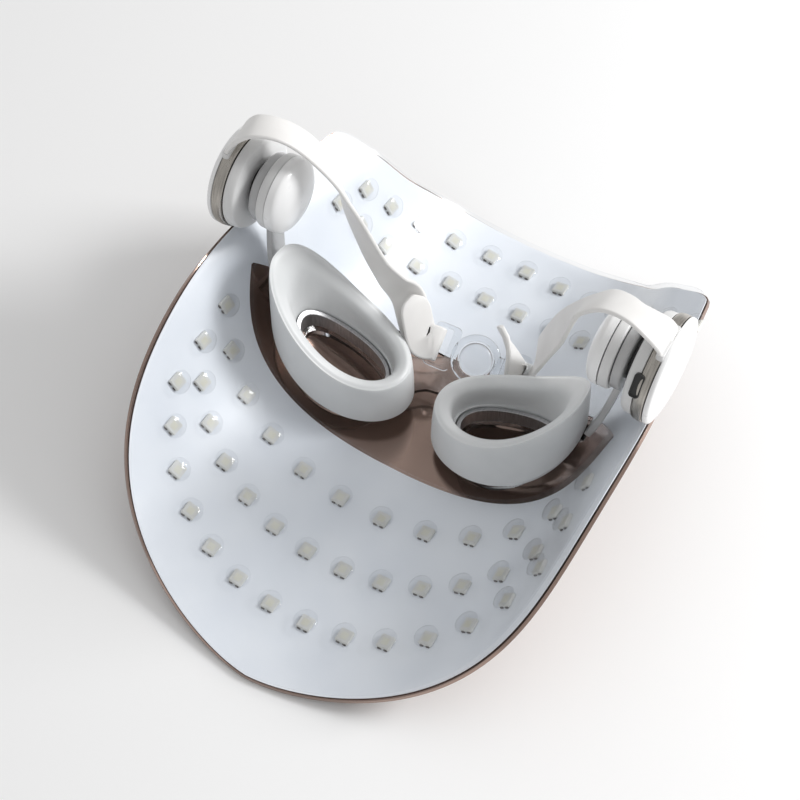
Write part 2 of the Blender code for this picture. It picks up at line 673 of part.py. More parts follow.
def mirrored(rings, side):
    return [[(side * x, y, z) for x, y, z in ring] for ring in rings]


def build_cup(word, side):
    """Silicone eye cup: a contoured lip that rises to the temple, and the bezel ring in its throat."""
    seat = FRAME_LAYER[0] + FRAME_LAYER[1] + CUP_CLEARANCE

    def base(x, y):
        return height_over(x, y, seat)

    def ridge(drop):
        return lambda x, y: ridge_height(x) - drop

    def part_way(share, drop):
        return lambda x, y: base(x, y) + share * (ridge_height(x) - drop - base(x, y))

    halfway = tuple((a + b) / 2 + 0.2 for a, b in zip(CUP_BASE, CUP_RIDGE))
    lip_crest = tuple(r - 2.6 for r in CUP_RIDGE)
    rings = [
        cup_ring(CUP_BASE, base, CUP_FAR_POWER),
        cup_ring(halfway, part_way(0.5, 1.6), CUP_FAR_POWER),
        cup_ring(CUP_RIDGE, ridge(1.6), CUP_FAR_POWER),
        cup_ring(tuple(r - 0.9 for r in CUP_RIDGE), ridge(0.3), CUP_FAR_POWER),
        cup_ring(lip_crest, ridge(0.0), CUP_FAR_POWER),
        cup_ring(CUP_LIP, ridge(2.6), CUP_FAR_POWER),
        cup_ring(tuple((a + b) / 2 for a, b in zip(CUP_LIP, CUP_THROAT)), part_way(0.55, 2.6)),
        cup_ring(CUP_THROAT, lambda x, y: base(x, y) + BEZEL_HEIGHT + 0.4),
        cup_ring(CUP_THROAT, base),
    ]
    loft("eye_cup_" + word, mirrored(rings, side), "grey_silicone", closed=True)

    def bezel_top(x, y):
        return base(x, y) + BEZEL_HEIGHT

    bezel = [cup_ring(BEZEL_OUTER, base), cup_ring(BEZEL_OUTER, bezel_top),
             cup_ring(BEZEL_INNER, bezel_top), cup_ring(BEZEL_INNER, base)]
    loft("bezel_ring_" + word, mirrored(bezel, side), "silver_trim", closed=True)


def build_frame():
    """Clear goggle frame: one plate along the shield with a bridge and two eye holes."""
    half_arc = FRAME_HIGH[-1][0]
    columns = [-half_arc + 2 * half_arc * i / 40 for i in range(41)]
    sections = []
    for arc in columns:
        low, high = profile_value(FRAME_LOW, arc), profile_value(FRAME_HIGH, arc)
        bottom, top = FRAME_LAYER[0], FRAME_LAYER[0] + FRAME_LAYER[1]
        corners = ((low, bottom), (high, bottom), (high, top), (low, top))
        sections.append([shell_point(arc / section_scale(y), y, h) for y, h in corners])
    frame = loft("goggle_frame", sections, "clear_plastic")
    for word, side in SIDES:
        ring = oval(EYE_HOLE, CUP_CENTRE)
        rings = [[(side * x, y, z) for x, y in ring] for z in (-10, 60)]
        boolean(frame, loft("cut_eye_hole_" + word, rings), "DIFFERENCE")


def build_arm(word, side):
    path = catmull([(side * x, y, z) for x, y, z in ARM_PATH], 3)
    sections = ribbon_sections(path, [(0, 1, 0)] * len(path), ARM_WIDTH, ARM_THICK)
    return loft("temple_arm_" + word, sections, "grey_translucent")


# ---------------------------------------------------------------- strap and buckle


def buckle_axes():
    face = Vector(BUCKLE_FACE).normalized()
    along = Vector(BUCKLE_ALONG)
    along = (along - along.dot(face) * face).normalized()
    return along, face.cross(along), face


def buckle_point(x, y, z):
    along, bars, face = buckle_axes()
    return Vector(BUCKLE_CENTRE) + along * x + bars * y + face * z


def buckle_solid(name, shapes, material):
    """A body of the buckle, from a union of boxes and discs given in the buckle's frame."""
    along, bars, face = buckle_axes()
    turn = Matrix((along, bars, face)).transposed().to_4x4()
    to_world = Matrix.Translation(place(BUCKLE_CENTRE)) @ turn
    main = None
    for index, (kind, where, size, operation) in enumerate(shapes):
        build = bmesh.new()
        if kind == "box":
            bmesh.ops.create_cube(build, size=1)
            bmesh.ops.scale(build, vec=Vector(size) * MM, verts=build.verts)
        else:
            bmesh.ops.create_cone(build, cap_ends=True, segments=36, radius1=size[0] * MM,
                                  radius2=size[1] * MM, depth=size[2] * MM)
        bmesh.ops.translate(build, vec=Vector(where) * MM, verts=build.verts)
        bmesh.ops.transform(build, matrix=to_world, verts=build.verts)
        mesh = bpy.data.meshes.new(name)
        build.to_mesh(mesh)
        build.free()
        if index == 0:
            main = add_object(name, mesh, material)
        else:
            boolean(main, add_object("cut_" + name + str(index), mesh), operation)
    return main


def build_buckle():
    """Clear buckle: a ring with a strap loop, a latch with the other loop, and a press button."""
    loop_middle = BAR_REACH + BAR_SIZE / 2 - LOOP_LENGTH / 2
    window = (LOOP_LENGTH - 2 * BAR_SIZE - 1.0, STRAP_WIDTH + 1.2, 2 * LOOP_THICK)
    buckle_solid("buckle_body", (
        ("disc", (0, 0, 0), (RING_RADIUS, RING_RADIUS, RING_THICK), None),
        ("box", (-loop_middle, 0, 0), (LOOP_LENGTH, LOOP_WIDTH, LOOP_THICK), "UNION"),
        ("box", (-loop_middle - 0.5, 0, 0), window, "DIFFERENCE"),
        ("disc", (0, 0, 0), (RING_HOLE, RING_HOLE, 2 * RING_THICK), "DIFFERENCE"),
        ("box", (RING_RADIUS, 0, 0), (5.6, 9.2, 2.0), "DIFFERENCE"),
    ), "clear_plastic")
    buckle_solid("buckle_latch", (
        ("box", (loop_middle + LATCH_SHIFT, 0, 0), (LOOP_LENGTH, LOOP_WIDTH, LOOP_THICK), None),
        ("box", (loop_middle + LATCH_SHIFT + 0.5, 0, 0), window, "DIFFERENCE"),
        ("box", (RING_RADIUS + 0.2, 0, 0), (4.0, 8.4, 1.4), "UNION"),
    ), "clear_plastic")
    buckle_solid("buckle_button", (
        ("disc", (0, 0, -0.2), (BUCKLE_BUTTON_RADIUS, BUCKLE_BUTTON_RADIUS, 2.0), None),
        ("disc", (0, 0, 1.5), (BUCKLE_BUTTON_RADIUS - 0.4, BUCKLE_BUTTON_RADIUS - 2.0, 2.2), "UNION"),
    ), "clear_plastic")


def strap_route(points, side, tail):
    """Centre line and width directions of a strap: pod to buckle bar, round the bar, and back as a tail."""
    bars = buckle_axes()[1]
    if side == LEFT:
        bar = -BAR_REACH
        wrap = [(bar - 5, 0, -BAR_GAP), (bar, 0, -BAR_GAP), (bar + 2.2, 0, -2.2), (bar + 2.8, 0, 0),
                (bar + 2.2, 0, 2.2), (bar, 0, BAR_GAP), (bar - 4, 0, BAR_GAP + 0.8)]
    else:
        bar = BAR_REACH + LATCH_SHIFT
        wrap = [(bar + 2.8, 0, 5), (bar + 2.6, 0, 0.5), (bar + 1.8, 0, -1.8), (bar, 0, -2.5),
                (bar - 1.8, 0, -1.8), (bar - 2.5, 0, 0.5), (bar - 3.2, 0, 5)]
    centres = [centre for centre, _ in points] + [tuple(buckle_point(*p)) for p in wrap] + [tail[0]]
    widths = [width for _, width in points] + [tuple(side * bars)] * len(wrap) + [tail[1]]
    return catmull(centres, STRAP_STEPS), catmull(widths, STRAP_STEPS)


def build_strap(word, points, side, tail):
    centres, widths = strap_route(points, side, tail)
    sections = ribbon_sections(centres, widths, STRAP_WIDTH, STRAP_THICK, TAIL_SHARES)
    return loft("strap_" + word, sections, "white_silicone")


def build():
    build_shield()
    for word, side in SIDES:
        sections = mirrored(shell_slot(), side)
        cutter = loft("cut_shell_slot_" + word, sections)
        face, rim, cap = build_pod(word, side, cutter)
        build_pivot(word, side)
        if side == RIGHT:
            rim_right, cap_right = rim, cap
        else:
            face_left = face
        build_inner_pod(word, side)
        build_cup(word, side)
        build_arm(word, side)
    build_electronics(rim_right, cap_right, face_left)
    build_frame()
    build_buckle()
    build_strap("left", STRAP_LEFT, LEFT, TAIL_LEFT)
    build_strap("right", STRAP_RIGHT, RIGHT, TAIL_RIGHT)


build()
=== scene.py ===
"""Looks of the LED face mask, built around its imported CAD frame.

Sizes are in millimetres in the mask's own frame: +X to the charging port's side, +Y from the chin to
the forehead, +Z from the shield to the wearer. place() turns a point into the row frame, in metres.
"""

import json
import math

import bmesh
import bpy
import numpy as np
from mathutils import Matrix, Vector


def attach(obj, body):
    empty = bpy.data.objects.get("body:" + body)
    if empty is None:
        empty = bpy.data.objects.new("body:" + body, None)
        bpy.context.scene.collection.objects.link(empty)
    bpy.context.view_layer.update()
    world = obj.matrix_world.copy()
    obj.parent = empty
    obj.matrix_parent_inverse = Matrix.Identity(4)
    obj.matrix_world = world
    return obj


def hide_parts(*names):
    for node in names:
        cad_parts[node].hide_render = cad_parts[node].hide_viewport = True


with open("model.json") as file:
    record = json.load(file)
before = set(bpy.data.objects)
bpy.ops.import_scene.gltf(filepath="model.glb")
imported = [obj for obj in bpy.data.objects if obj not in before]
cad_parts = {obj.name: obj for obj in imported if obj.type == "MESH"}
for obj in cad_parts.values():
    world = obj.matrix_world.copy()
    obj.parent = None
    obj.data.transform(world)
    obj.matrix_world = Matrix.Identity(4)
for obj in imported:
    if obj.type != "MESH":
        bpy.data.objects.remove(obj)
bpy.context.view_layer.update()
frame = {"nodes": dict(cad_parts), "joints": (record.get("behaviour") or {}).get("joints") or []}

MM = 0.001
LEFT, RIGHT = -1, 1
SIDES = (("left", LEFT), ("right", RIGHT))

# ---------------------------------------------------------------- sizes shared with the CAD part

ARC_UNIT = 62.0
BEND = (0.488, 0.69, -0.2778)
FLARE_ARC, FLARE_ANGLE = 98.0, 0.66
TAPER = 0.003
ARC_END = 115.0
FLAT_HALF_WIDTH = 5.0
CHIN_TOP, CHIN_DEPTH = 24.7, 154.8
CHIN_ARC, CHIN_POWER, CHIN_ROUND = 106.2, 1.561, 0.513
SIDE_ARC, SIDE_SLOPE = 103.0, 4.5
TOP_EDGE = (
    (0, 79), (20, 78.5), (42, 76), (60, 71), (79, 62.5),
    (98, 56), (109, 53), (113.5, 50.8), (115, 49),
)
WINDOW_ARC = 87.0
WINDOW_LOW, WINDOW_LOW_RISE, WINDOW_LOW_POWER = -36.5, 23.5, 3.0
WINDOW_HIGH, WINDOW_HIGH_DROP, WINDOW_HIGH_POWER = 16.0, 28.0, 3.0
SHELL_LAYER, BOARD_LAYER, LINER_LAYER, FRAME_LAYER = (-2.4, 1.2), (-0.8, 0.3), (1.3, 0.6), (3.3, 1.6)
BOARD_INSET, LINER_INSET = 0.5, 0.3

LED_ROWS = (
    ("cheek", 12, 17.0, 0.0022, (-57.0, 13.5, 0.1)),
    ("jaw", 14, 14.5, 0.0024, (-80.7, 16.7, 1.4)),
    ("chin", 14, 14.4, 0.0030, (-104.1, 18.0, 3.8)),
    ("brow", 12, 14.7, 0.0006, (46.3, -13.9, 2.8)),
    ("forehead", 15, 15.3, 0.0012, (66.0, -19.6, 2.9)),
)
CHIP_SIDE, CHIP_LOW, CHIP_HIGH = 5.0, -0.5, 0.9

PIVOT_Y, PIVOT_Z = -1.0, 75.5
POD_RADIUS, CAP_RADIUS, POD_WALL = 18.5, 17.6, 2.4
FACE_TOP, FACE_EDGE, FACE_BACK = 84.0, 82.3, 80.6
RIM_TOP, RIM_BACK = 80.3, 76.6
CAP_TOP, CAP_BACK = 76.3, 72.2
SHAFT_BORE = 3.08
INNER_BASE, INNER_BASE_RADIUS = (69.7, 66.3), 12.4
INNER_RIM, INNER_RIM_RADIUS = (66.0, 62.6), 13.6
DOME_EDGE, DOME_TOP, DOME_RADIUS, DOME_WALL = 62.3, 55.6, 13.8, 1.4
BUTTON_RADIUS, BUTTON_HOLE, BUTTON_TOP, BUTTON_BACK = 4.6, 4.9, 84.0, 80.2
PORT_ANGLE, PORT_SIZE = 153.0, (3.4, 8.4, 5.6)

CUP_CENTRE, CUP_POWER, CUP_FAR_POWER = (33.0, -14.2), 2.05, 2.7
CUP_BASE, CUP_RIDGE, CUP_LIP, CUP_THROAT = (27.4, 18.4), (26.6, 17.4), (20.6, 12.0), (18.6, 11.2)
RIDGE_LOW, RIDGE_RISE, RIDGE_POWER = 24.5, 36.0, 2.1
BEZEL_OUTER, BEZEL_INNER, BEZEL_HEIGHT = (18.1, 10.7), (16.6, 9.3), 7.5
EYE_HOLE = (15.8, 8.6)
CUP_CLEARANCE = 0.8
FRAME_HIGH = ((0, 13), (6, 12), (13, 7), (22, 4.4), (40, 6.5), (52, 6), (60, 1), (66, -4), (76, -4))
FRAME_LOW = (
    (0, -3), (6, -5), (13, -14), (22, -28), (32, -32),
    (44, -31), (54, -26), (60, -19), (66, -12), (76, -12),
)
ARM_PATH = (
    (61.7, -8.0, 36.8), (62.7, -7.8, 40.0), (64.2, -6.8, 45.0),
    (65.6, -5.0, 51.0), (66.6, -3.0, 57.5), (67.2, -1.5, 61.6),
)
ARM_WIDTH, ARM_THICK = 8.0, 2.4

STRAP_WIDTH, STRAP_THICK = 12.5, 1.6
STRAP_LEFT = (
    ((-79.5, -3.2, 88.5), (0, 1, 0)),
    ((-79.2, -3.2, 94.5), (-0.05, 1, -0.05)),
    ((-76.0, -1.9, 99.8), (-0.3, 0.93, -0.2)),
    ((-71.5, -0.6, 102.8), (-0.42, 0.88, -0.2)),
    ((-65.5, 1.8, 102.4), (-0.48, 0.84, -0.2)),
    ((-59.8, 5.0, 98.0), (-0.46, 0.86, -0.18)),
    ((-54.0, 7.6, 91.0), (-0.45, 0.88, -0.18)),
    ((-48.5, 8.3, 83.5), (-0.55, 0.78, -0.28)),
    ((-44.5, 7.7, 76.5), (-0.68, 0.63, -0.37)),
    ((-40.5, 7.5, 67.5), (-0.82, 0.42, -0.37)),
    ((-36.5, 8.0, 57.5), (-0.88, 0.3, -0.35)),
    ((-32.0, 8.6, 47.5), (-0.9, 0.15, -0.4)),
    ((-26.5, 9.4, 39.5), (-0.8, -0.15, -0.55)),
    ((-21.0, 11.2, 31.5), (-0.5, -0.55, -0.65)),
)
STRAP_RIGHT = (
    ((79.5, -3.8, 88.5), (0, 1, 0)),
    ((79.0, -4.4, 94.5), (0, 1, 0)),
    ((75.3, -6.6, 100.3), (-0.15, 0.97, -0.1)),
    ((69.3, -7.0, 103.4), (0.05, 0.93, -0.36)),
    ((62.5, -5.9, 103.0), (0.17, 0.95, -0.26)),
    ((57.3, -5.3, 100.4), (0.18, 0.97, -0.13)),
    ((52.4, -5.1, 94.5), (0.17, 0.97, -0.05)),
    ((48.6, -4.2, 86.0), (-0.1, 0.97, 0.1)),
    ((44.2, -2.9, 75.0), (-0.38, 0.87, 0.28)),
    ((40.0, -1.0, 63.0), (-0.42, 0.85, 0.32)),
    ((36.0, 1.2, 50.0), (-0.38, 0.86, 0.34)),
    ((33.5, 6.4, 40.0), (-0.25, 0.8, 0.5)),
    ((31.8, 10.4, 32.0), (-0.12, 0.75, 0.6)),
    ((30.6, 13.0, 24.5), (-0.08, 0.83, 0.53)),
)
TAIL_LEFT = ((-18.5, 10.0, 36.0), (0.065, -0.85, -0.51))
TAIL_RIGHT = ((15.6, 13.3, 37.0), (-0.8, 0.5, -0.3))
BUCKLE_CENTRE = (8.2, 9.7, 15.8)
BUCKLE_FACE, BUCKLE_ALONG = (0.285, -0.479, 0.83), (0.95, 0.20, -0.21)
RING_RADIUS, RING_HOLE, RING_THICK = 9.2, 6.6, 4.0
BUCKLE_BUTTON_RADIUS = 6.2
BAR_REACH, BAR_SIZE, BAR_GAP, LATCH_SHIFT = 17.0, 2.0, 2.9, 1.4
LOOP_LENGTH, LOOP_WIDTH, LOOP_THICK = 10.0, 16.6, 2.4

# The tilt axis ties the mask's own frame to the row frame.
TILT_PLACE = next(j for j in frame["joints"] if j["name"] == "goggle_tilt")["pos_m"]
SHIFT = Vector((0.0, TILT_PLACE[1] / MM - PIVOT_Y, TILT_PLACE[2] / MM - PIVOT_Z))

# ---------------------------------------------------------------- fineness and small details

SHEET_COLUMNS, ZONE_ROWS = 180, (18, 12, 12)
TURN_STEPS, OVAL_STEPS, RING_STEPS, STRAP_STEPS = 96, 128, 6, 10
DOME_STEPS, DOME_RINGS = 28, 6
FRAME_STEPS, HOLE_SPAN = 160, (-10, 60)
SHARP_ANGLE = 35.0
TONE_RANGE = (0.35, 0.65)
SOFT_GLOW = {"Subsurface_Weight": 0.15, "Subsurface_Scale": 0.002, "Subsurface_Radius": (1.0, 1.0, 1.0)}

BUBBLE_RADIUS, BUBBLE_HEIGHT, BUBBLE_BASE = 4.3, 1.3, 1.92
CHIP_ROUND = 0.25
PHOSPHOR_SIDE, PHOSPHOR_THICK, PHOSPHOR_ROUND = 2.6, 0.12, 0.04
# Each chip's two near-black blocks past its chin-side edge are painted shade, where its shadow falls on the
# sheet.
SHADE_BLOCK_SIZE, SHADE_BLOCK_ROUND = (1.3, 0.55, 0.7), 0.08
SHADE_BLOCK_APART, SHADE_BLOCK_PAST_CHIP, SHADE_BLOCK_LIFT = 1.25, 0.1, 0.3

PORT_ROUND, PORT_WALL, PORT_RECESS = 1.1, 0.5, 0.4
PORT_LIFT, PORT_INSET = 0.15, 2.9
GASKET_MARGIN, GASKET_ROUND, GASKET_SPAN = 1.0, 0.9, (0.5, 5.2)

TAIL_ROUND, TAIL_LEAST = 7.0, 0.02
BAND_EDGE, ARM_EDGE = 0.46, 0.2
# The strap's path round its bar: distances along the buckle and off its face, from the bar's middle.
WRAP_LEFT = (
    (-5.0, -BAR_GAP), (0.0, -BAR_GAP), (2.2, -2.2), (2.8, 0.0),
    (2.2, 2.2), (0.0, BAR_GAP), (-4.0, BAR_GAP + 0.8),
)
WRAP_RIGHT = ((2.8, 5.0), (2.6, 0.5), (1.8, -1.8), (0.0, -2.5), (-1.8, -1.8), (-2.5, 0.5), (-3.2, 5.0))
LOOP_ROUND, LOOP_WINDOW_ROUND, LOOP_CORNER_STEPS = 2.0, 0.9, 6
LOOP_WINDOW_GAP, LOOP_WINDOW_SHORT, LOOP_WINDOW_SHIFT = 1.2, 1.0, 0.5
TONGUE_WIDTH, TONGUE_THICK, TONGUE_ROOT, TONGUE_LAP = 8.4, 1.4, 1.8, 0.4
KEY_TOP, KEY_BULGE, KEY_BACK, KEY_GAP = 2.6, 1.6, -1.2, 0.3
KEY_RINGS = 12


def place(point):
    """A point of the mask's frame, in millimetres, as a point of the row frame in metres."""
    return (Vector(tuple(float(c) for c in point)) + SHIFT) * MM


# ---------------------------------------------------------------- materials


def new_material(name, colour, roughness, **inputs):
    """A Principled material. Other sockets are given by name, with _ for spaces."""
    mat = bpy.data.materials.new(name)
    mat.use_nodes = True
    shader = mat.node_tree.nodes["Principled BSDF"]
    shader.inputs["Base Color"].default_value = (*colour, 1.0)
    shader.inputs["Roughness"].default_value = roughness
    for key, value in inputs.items():
        shader.inputs[key.replace("_", " ")].default_value = value
    return mat


def texture_space(mat, stretch):
    """Object coordinates in millimetres, scaled by the stretch."""
    nodes, links = mat.node_tree.nodes, mat.node_tree.links
    coordinates = nodes.new("ShaderNodeTexCoord")
    mapping = nodes.new("ShaderNodeMapping")
    mapping.inputs["Scale"].default_value = [s / MM for s in stretch]
    links.new(coordinates.outputs["Object"], mapping.inputs["Vector"])
    return mapping.outputs["Vector"]


def noise(mat, size, stretch=(1.0, 1.0, 1.0), detail=3.0):
    """A noise whose features are about this many millimetres across."""
    node = mat.node_tree.nodes.new("ShaderNodeTexNoise")
    node.inputs["Scale"].default_value = 1.0 / size
    node.inputs["Detail"].default_value = detail
    mat.node_tree.links.new(texture_space(mat, stretch), node.inputs["Vector"])
    return node.outputs["Fac"]


def blend_colours(mat, factor, dark, light):
    """Base colour between two tones, following the factor."""
    nodes, links = mat.node_tree.nodes, mat.node_tree.links
    ramp = nodes.new("ShaderNodeValToRGB")
    for element, position, tone in zip(ramp.color_ramp.elements, TONE_RANGE, (dark, light)):
        element.position = position
        element.color = (*tone, 1.0)
    links.new(factor, ramp.inputs["Fac"])
    links.new(ramp.outputs["Color"], nodes["Principled BSDF"].inputs["Base Color"])


def vary_roughness(mat, factor, low, high):
    """Roughness between two values, following the factor."""
    nodes, links = mat.node_tree.nodes, mat.node_tree.links
    spread = nodes.new("ShaderNodeMapRange")
    spread.inputs["To Min"].default_value = low
    spread.inputs["To Max"].default_value = high
    links.new(factor, spread.inputs["Value"])
    links.new(spread.outputs["Result"], nodes["Principled BSDF"].inputs["Roughness"])


def add_bump(mat, height, depth, strength=0.3):
    """A relief of this depth in millimetres."""
    nodes, links = mat.node_tree.nodes, mat.node_tree.links
    bump = nodes.new("ShaderNodeBump")
    bump.inputs["Strength"].default_value = strength
    bump.inputs["Distance"].default_value = depth * MM
    links.new(height, bump.inputs["Height"])
    links.new(bump.outputs["Normal"], nodes["Principled BSDF"].inputs["Normal"])


def moulded(name, dark, light, roughness, grain=0.35, depth=0.02, cloud=28.0, **inputs):
    """Moulded plastic or silicone: slow changes of tone, a fine satin grain and uneven gloss."""
    mat = new_material(name, light, roughness, **inputs)
    blend_colours(mat, noise(mat, cloud), dark, light)
    vary_roughness(mat, noise(mat, 9.0), roughness - 0.05, roughness + 0.06)
    add_bump(mat, noise(mat, grain, detail=2.0), depth)
    return mat


def let_lamps_through(mat):
    """Clear plastic throws no dark shadow."""
    nodes, links = mat.node_tree.nodes, mat.node_tree.links
    path = nodes.new("ShaderNodeLightPath")
    clear = nodes.new("ShaderNodeBsdfTransparent")
    mix = nodes.new("ShaderNodeMixShader")
    links.new(path.outputs["Is Shadow Ray"], mix.inputs["Fac"])
    links.new(nodes["Principled BSDF"].outputs["BSDF"], mix.inputs[1])
    links.new(clear.outputs["BSDF"], mix.inputs[2])
    links.new(mix.outputs["Shader"], nodes["Material Output"].inputs["Surface"])


def clear_plastic(name, dark, light, roughness=0.03):
    """Thick clear plastic that bends the light, faintly uneven in tone and surface."""
    mat = new_material(name, light, roughness, Transmission_Weight=1.0, IOR=1.46)
    blend_colours(mat, noise(mat, 20.0), dark, light)
    add_bump(mat, noise(mat, 6.0), 0.02, 0.15)
    let_lamps_through(mat)
    return mat


def film(name, tint, roughness, head_on):
    """A thin clear sheet: what is behind it shows, with a reflection that grows at grazing angles."""
    mat = bpy.data.materials.new(name)
    mat.use_nodes = True
    nodes, links = mat.node_tree.nodes, mat.node_tree.links
    nodes.remove(nodes["Principled BSDF"])
    facing = nodes.new("ShaderNodeLayerWeight")
    steep = nodes.new("ShaderNodeMath")
    steep.operation = "POWER"
    steep.inputs[1].default_value = 4.0
    share = nodes.new("ShaderNodeMapRange")
    share.inputs["To Min"].default_value, share.inputs["To Max"].default_value = head_on, 0.7
    clear = nodes.new("ShaderNodeBsdfTransparent")
    clear.inputs["Color"].default_value = (*tint, 1.0)
    gloss = nodes.new("ShaderNodeBsdfGlossy")
    gloss.inputs["Roughness"].default_value = roughness
    mix = nodes.new("ShaderNodeMixShader")
    ripple = nodes.new("ShaderNodeBump")
    ripple.inputs["Strength"].default_value = 0.2
    ripple.inputs["Distance"].default_value = 0.05 * MM
    links.new(noise(mat, 7.0), ripple.inputs["Height"])
    links.new(ripple.outputs["Normal"], gloss.inputs["Normal"])
    links.new(facing.outputs["Facing"], steep.inputs[0])
    links.new(steep.outputs["Value"], share.inputs["Value"])
    links.new(share.outputs["Result"], mix.inputs["Fac"])
    links.new(clear.outputs["BSDF"], mix.inputs[1])
    links.new(gloss.outputs["BSDF"], mix.inputs[2])
    links.new(mix.outputs["Shader"], nodes["Material Output"].inputs["Surface"])
    return mat


BRONZE_DARK, BRONZE_LIGHT = (0.27, 0.185, 0.15), (0.38, 0.27, 0.225)


def bronze_tint():
    """Mirror-coated brown polycarbonate, with the coating's slow drift from bronze to rose."""
    mat = new_material("bronze_tint", BRONZE_LIGHT, 0.13, Metallic=0.82, Coat_Weight=0.6)
    blend_colours(mat, noise(mat, 70.0, (1.0, 0.6, 1.0)), BRONZE_DARK, BRONZE_LIGHT)
    vary_roughness(mat, noise(mat, 12.0), 0.10, 0.18)
    return mat


def brushed_metal(name, dark, light, roughness):
    """Metal with a fine grain brushed across the X axis, which is round the pods."""
    mat = new_material(name, light, roughness, Metallic=1.0)
    blend_colours(mat, noise(mat, 2.5, (6.0, 0.4, 0.4)), dark, light)
    vary_roughness(mat, noise(mat, 1.2, (8.0, 0.3, 0.3)), roughness - 0.06, roughness + 0.08)
    add_bump(mat, noise(mat, 0.5, (8.0, 0.2, 0.2)), 0.01)
    return mat


MATERIALS = {
    "shell": bronze_tint(),
    "board": moulded(
        "led_sheet_white", (0.80, 0.83, 0.88), (0.86, 0.885, 0.925), 0.42, grain=0.6, depth=0.01),
    "liner": film("liner_film", (0.99, 0.995, 1.0), 0.3, 0.015),
    "bubble": film("bubble_clear", (0.985, 0.988, 0.992), 0.08, 0.03),
    "chip": moulded("chip_package", (0.78, 0.77, 0.72), (0.88, 0.87, 0.83), 0.4, grain=0.2, cloud=5.0),
    "phosphor": moulded(
        "chip_phosphor", (0.84, 0.81, 0.68), (0.88, 0.86, 0.75), 0.3, grain=0.2, cloud=3.0),
    # Painted shade for the chips' chin-side edges.
    "chip_shade": moulded("painted_chip_shade", (0.10, 0.09, 0.085), (0.20, 0.18, 0.17), 0.35, grain=0.2, cloud=2.0),
    "white": moulded("white_satin", (0.86, 0.86, 0.86), (0.91, 0.91, 0.91), 0.28, Coat_Weight=0.25),
    "band": brushed_metal("champagne_band", (0.36, 0.34, 0.31), (0.50, 0.47, 0.43), 0.28),
    "light_grey": moulded("light_grey_satin", (0.66, 0.66, 0.66), (0.74, 0.74, 0.735), 0.34),
    "smoke": moulded(
        "smoke_grey", (0.42, 0.42, 0.425), (0.52, 0.52, 0.52), 0.22, Coat_Weight=0.4, **SOFT_GLOW),
    "silicone_grey": moulded(
        "silicone_grey", (0.66, 0.675, 0.68), (0.74, 0.75, 0.755), 0.42, grain=0.5, depth=0.03,
        Sheen_Weight=0.1, **SOFT_GLOW),
    "silicone_white": moulded(
        "silicone_white", (0.74, 0.725, 0.71), (0.82, 0.81, 0.795), 0.45, grain=0.45, depth=0.03,
        Sheen_Weight=0.1, **SOFT_GLOW),
    "silver": brushed_metal("silver_plating", (0.46, 0.46, 0.47), (0.58, 0.58, 0.59), 0.44),
    "steel": brushed_metal("turned_steel", (0.45, 0.45, 0.46), (0.6, 0.6, 0.61), 0.3),
    "clear": clear_plastic("clear_moulding", (0.84, 0.86, 0.88), (0.91, 0.925, 0.94)),
    "frost": clear_plastic("frosted_moulding", (0.86, 0.88, 0.90), (0.93, 0.94, 0.95), 0.3),
    "black": moulded("black_plastic", (0.012, 0.012, 0.012), (0.03, 0.03, 0.03), 0.4),
    "green": moulded("circuit_green", (0.02, 0.12, 0.05), (0.05, 0.22, 0.10), 0.4, cloud=3.0),
    "wrap": moulded("battery_wrap", (0.06, 0.12, 0.25), (0.10, 0.18, 0.34), 0.3, cloud=6.0),
}


# ---------------------------------------------------------------- mesh helpers


def shade(mesh):
    """Smooth shading, broken at sharp edges."""
    mesh.shade_smooth()
    mesh.set_sharp_from_angle(angle=math.radians(SHARP_ANGLE))


def as_object(name, mesh, materials):
    obj = bpy.data.objects.new(name, mesh)
    bpy.context.scene.collection.objects.link(obj)
    for key in materials:
        mesh.materials.append(MATERIALS[key])
    shade(mesh)
    return obj


def solid(name, verts, faces, material):
    """A mesh object from points in the mask's frame, with its faces turned outwards."""
    mesh = bpy.data.meshes.new(name)
    mesh.from_pydata([tuple(place(v)) for v in verts], [], faces)
    build = bmesh.new()
    build.from_mesh(mesh)
    bmesh.ops.recalc_face_normals(build, faces=build.faces)
    build.to_mesh(mesh)
    build.free()
    return as_object(name, mesh, [material])


def soften(obj, width, segments=3, angle=SHARP_ANGLE):
    """Rounds every sharp edge by this many millimetres."""
    bevel = obj.modifiers.new("Soften", "BEVEL")
    bevel.width = width * MM
    bevel.segments = segments
    bevel.limit_method = "ANGLE"
    bevel.angle_limit = math.radians(angle)
    return obj


def cut(obj, cutter):
    """Takes the cutter out of the piece, and removes the cutter."""
    modifier = obj.modifiers.new("Cut", "BOOLEAN")
    modifier.object = cutter
    modifier.operation = "DIFFERENCE"
    modifier.solver = "EXACT"
    evaluated = obj.evaluated_get(bpy.context.evaluated_depsgraph_get())
    mesh = bpy.data.meshes.new_from_object(evaluated)
    obj.modifiers.remove(modifier)
    obj.data = mesh
    bpy.data.objects.remove(cutter, do_unlink=True)
    shade(mesh)
    return obj


def dress(obj, body, slot, *nodes):
    """The piece rides on a body and stands for CAD nodes. Its slot is not used."""
    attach(obj, body)
    if nodes:
        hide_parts(*nodes)
    return obj


def catmull(points, steps):
    """A smooth curve through the points, with a number of steps on each span."""
    points = np.asarray(points, float)
    padded = np.vstack([2 * points[0] - points[1], points, 2 * points[-1] - points[-2]])
    out = []
    for i in range(1, len(padded) - 2):
        a, b, c, d = padded[i - 1 : i + 3]
        for step in range(steps):
            t = step / steps
            square = (2 * a - 5 * b + 4 * c - d) * t**2
            cube = (3 * b - a - 3 * c + d) * t**3
            out.append(0.5 * (2 * b + (c - a) * t + square + cube))
    out.append(points[-1])
    return np.array(out)


